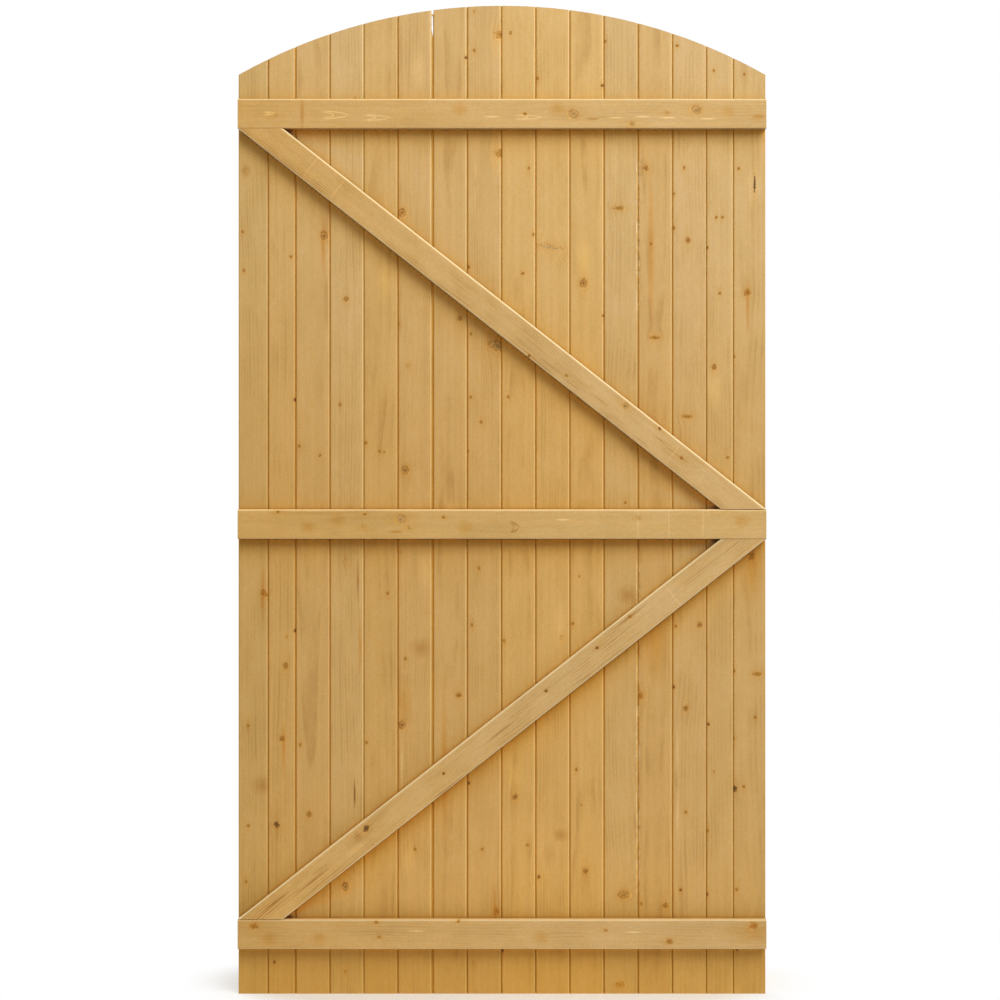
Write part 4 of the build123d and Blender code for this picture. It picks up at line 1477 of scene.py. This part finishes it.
# Matt emulsion paint, rolled on: no gleam at all, only an even pale field for the shadow
matt_paint = bpy.data.materials.new("pale_painted_floor")
matt_paint.use_nodes = True
tree = matt_paint.node_tree
tree.nodes.clear()
paint = add(tree, "ShaderNodeBsdfPrincipled", linear("#EFEFEC"), 0.0, 0.8)
away = add(tree, VECTOR, add(tree, "ShaderNodeTexCoord").outputs["Object"], (0, floor_behind, 0),
           operation="SUBTRACT")
away = add(tree, VECTOR, add(tree, VECTOR, away, (floor_half_wide, floor_half_deep, 1),
                             operation="DIVIDE"), operation="LENGTH")
fade = add(tree, RANGE, away, fade_start, fade_end, 0.0, 1.0, interpolation_type="SMOOTHSTEP")
white = add(tree, "ShaderNodeEmission", linear("#FFFFFF"), 1.0)
rays = add(tree, "ShaderNodeLightPath")
seen = add(tree, MATH, fade, rays.outputs["Is Camera Ray"], operation="MULTIPLY")
add(tree, "ShaderNodeOutputMaterial", add(tree, "ShaderNodeMixShader", seen, paint, white))
floor_mesh.materials.append(matt_paint)
floor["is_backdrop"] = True
print("floor:", 2 * floor_half_wide, "by", 2 * floor_half_deep, "m")

# %% [markdown]
# ## An even sky
# A pale sky fills the shadows, a little brighter from above than from below. The camera must see
# plain white instead, and so must anything that mirrors it, such as the zinc. Raising the sky
# until it turned white would wash out the wood, so the light path tells the two uses apart.

# %% Sky
sky_low, sky_high = 0.24, 0.52
scene = bpy.context.scene
scene.view_settings.view_transform = "Standard"
sky = bpy.data.worlds.new("pale_sky")
sky.use_nodes = True
tree = sky.node_tree
tree.nodes.clear()
rays = add(tree, "ShaderNodeLightPath")
shown = add(tree, MATH, rays.outputs["Is Camera Ray"], rays.outputs["Is Glossy Ray"],
            operation="MAXIMUM")
shown = add(tree, MATH, shown, rays.outputs["Is Transmission Ray"], operation="MAXIMUM")
up = add(tree, PARTS, add(tree, "ShaderNodeTexCoord").outputs["Generated"])
level = add(tree, RANGE, up.outputs["Z"], -0.3, 0.5, sky_low, sky_high)
fill = add(tree, "ShaderNodeBackground", linear("#FFF9F0"), level)
white = add(tree, "ShaderNodeBackground", linear("#FFFFFF"), 1.0)
add(tree, "ShaderNodeOutputWorld", add(tree, "ShaderNodeMixShader", shown, fill, white))
scene.world = sky
print("sky strength, low and high:", sky_low, sky_high)

# %% [markdown]
# ## Two soft lights
# One large soft light stands high in front and a little to the right. It gives the short soft
# shadows under the ledges, which painted shade deepens and warms, and the bright line along every
# upper edge, which a painted highlight strengthens. A small lamp or the sun would draw hard
# shadows that this picture doesn't have. A weaker one behind lights the boarded side for whoever
# walks round the gate.

# %% Lights


def soft_light(name, place, target, size, power, colour):
    """A square studio light that faces its target."""
    lamp = bpy.data.lights.new(name, "AREA")
    lamp.size = size
    lamp.energy = power
    lamp.color = linear(colour)[:3]
    light = bpy.data.objects.new(name, lamp)
    light.location = place
    light.rotation_euler = (Vector(target) - Vector(place)).to_track_quat("-Z", "Y").to_euler()
    scene.collection.objects.link(light)
    return light


middle = (0, 0, crown * MM / 2)
lamp_white = "#FFFDFA"
key = soft_light("key", place=(2.6, -3.9, 5.4), target=middle, size=4.6, power=358,
                 colour=lamp_white)
soft_light("rear", place=(-2.4, 4.4, 3.6), target=middle, size=3.0, power=110, colour=lamp_white)
print("key light stands", round((key.location - Vector(middle)).length, 2), "m away")

# %% [markdown]
# ## The camera
# The gate was seen straight on, from the height of its middle and from far enough that both
# sides look alike. A long lens from five metres does that. A short lens close by would show the
# sides of the ledges and swell the middle.

# %% Camera
camera_right, camera_away, camera_height = -0.0037, 5.296, 0.9145     # metres
eye = bpy.data.cameras.new("eye")
eye.sensor_width = 36
eye.lens = 103
camera = bpy.data.objects.new("eye", eye)
camera.location = (camera_right, -camera_away, camera_height)
camera.rotation_euler = (math.pi / 2, 0, 0)
scene.collection.objects.link(camera)
scene.camera = camera
print("camera", camera_away, "m in front of the leaf")

# %% [markdown]
# ## The size of the finished leaf
# Its size is printed, to set beside the CAD model's size printed at the start.

# %% Size of the leaf
low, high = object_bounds()
print("visual model, metres:", [round(size, 4) for size in high - low])
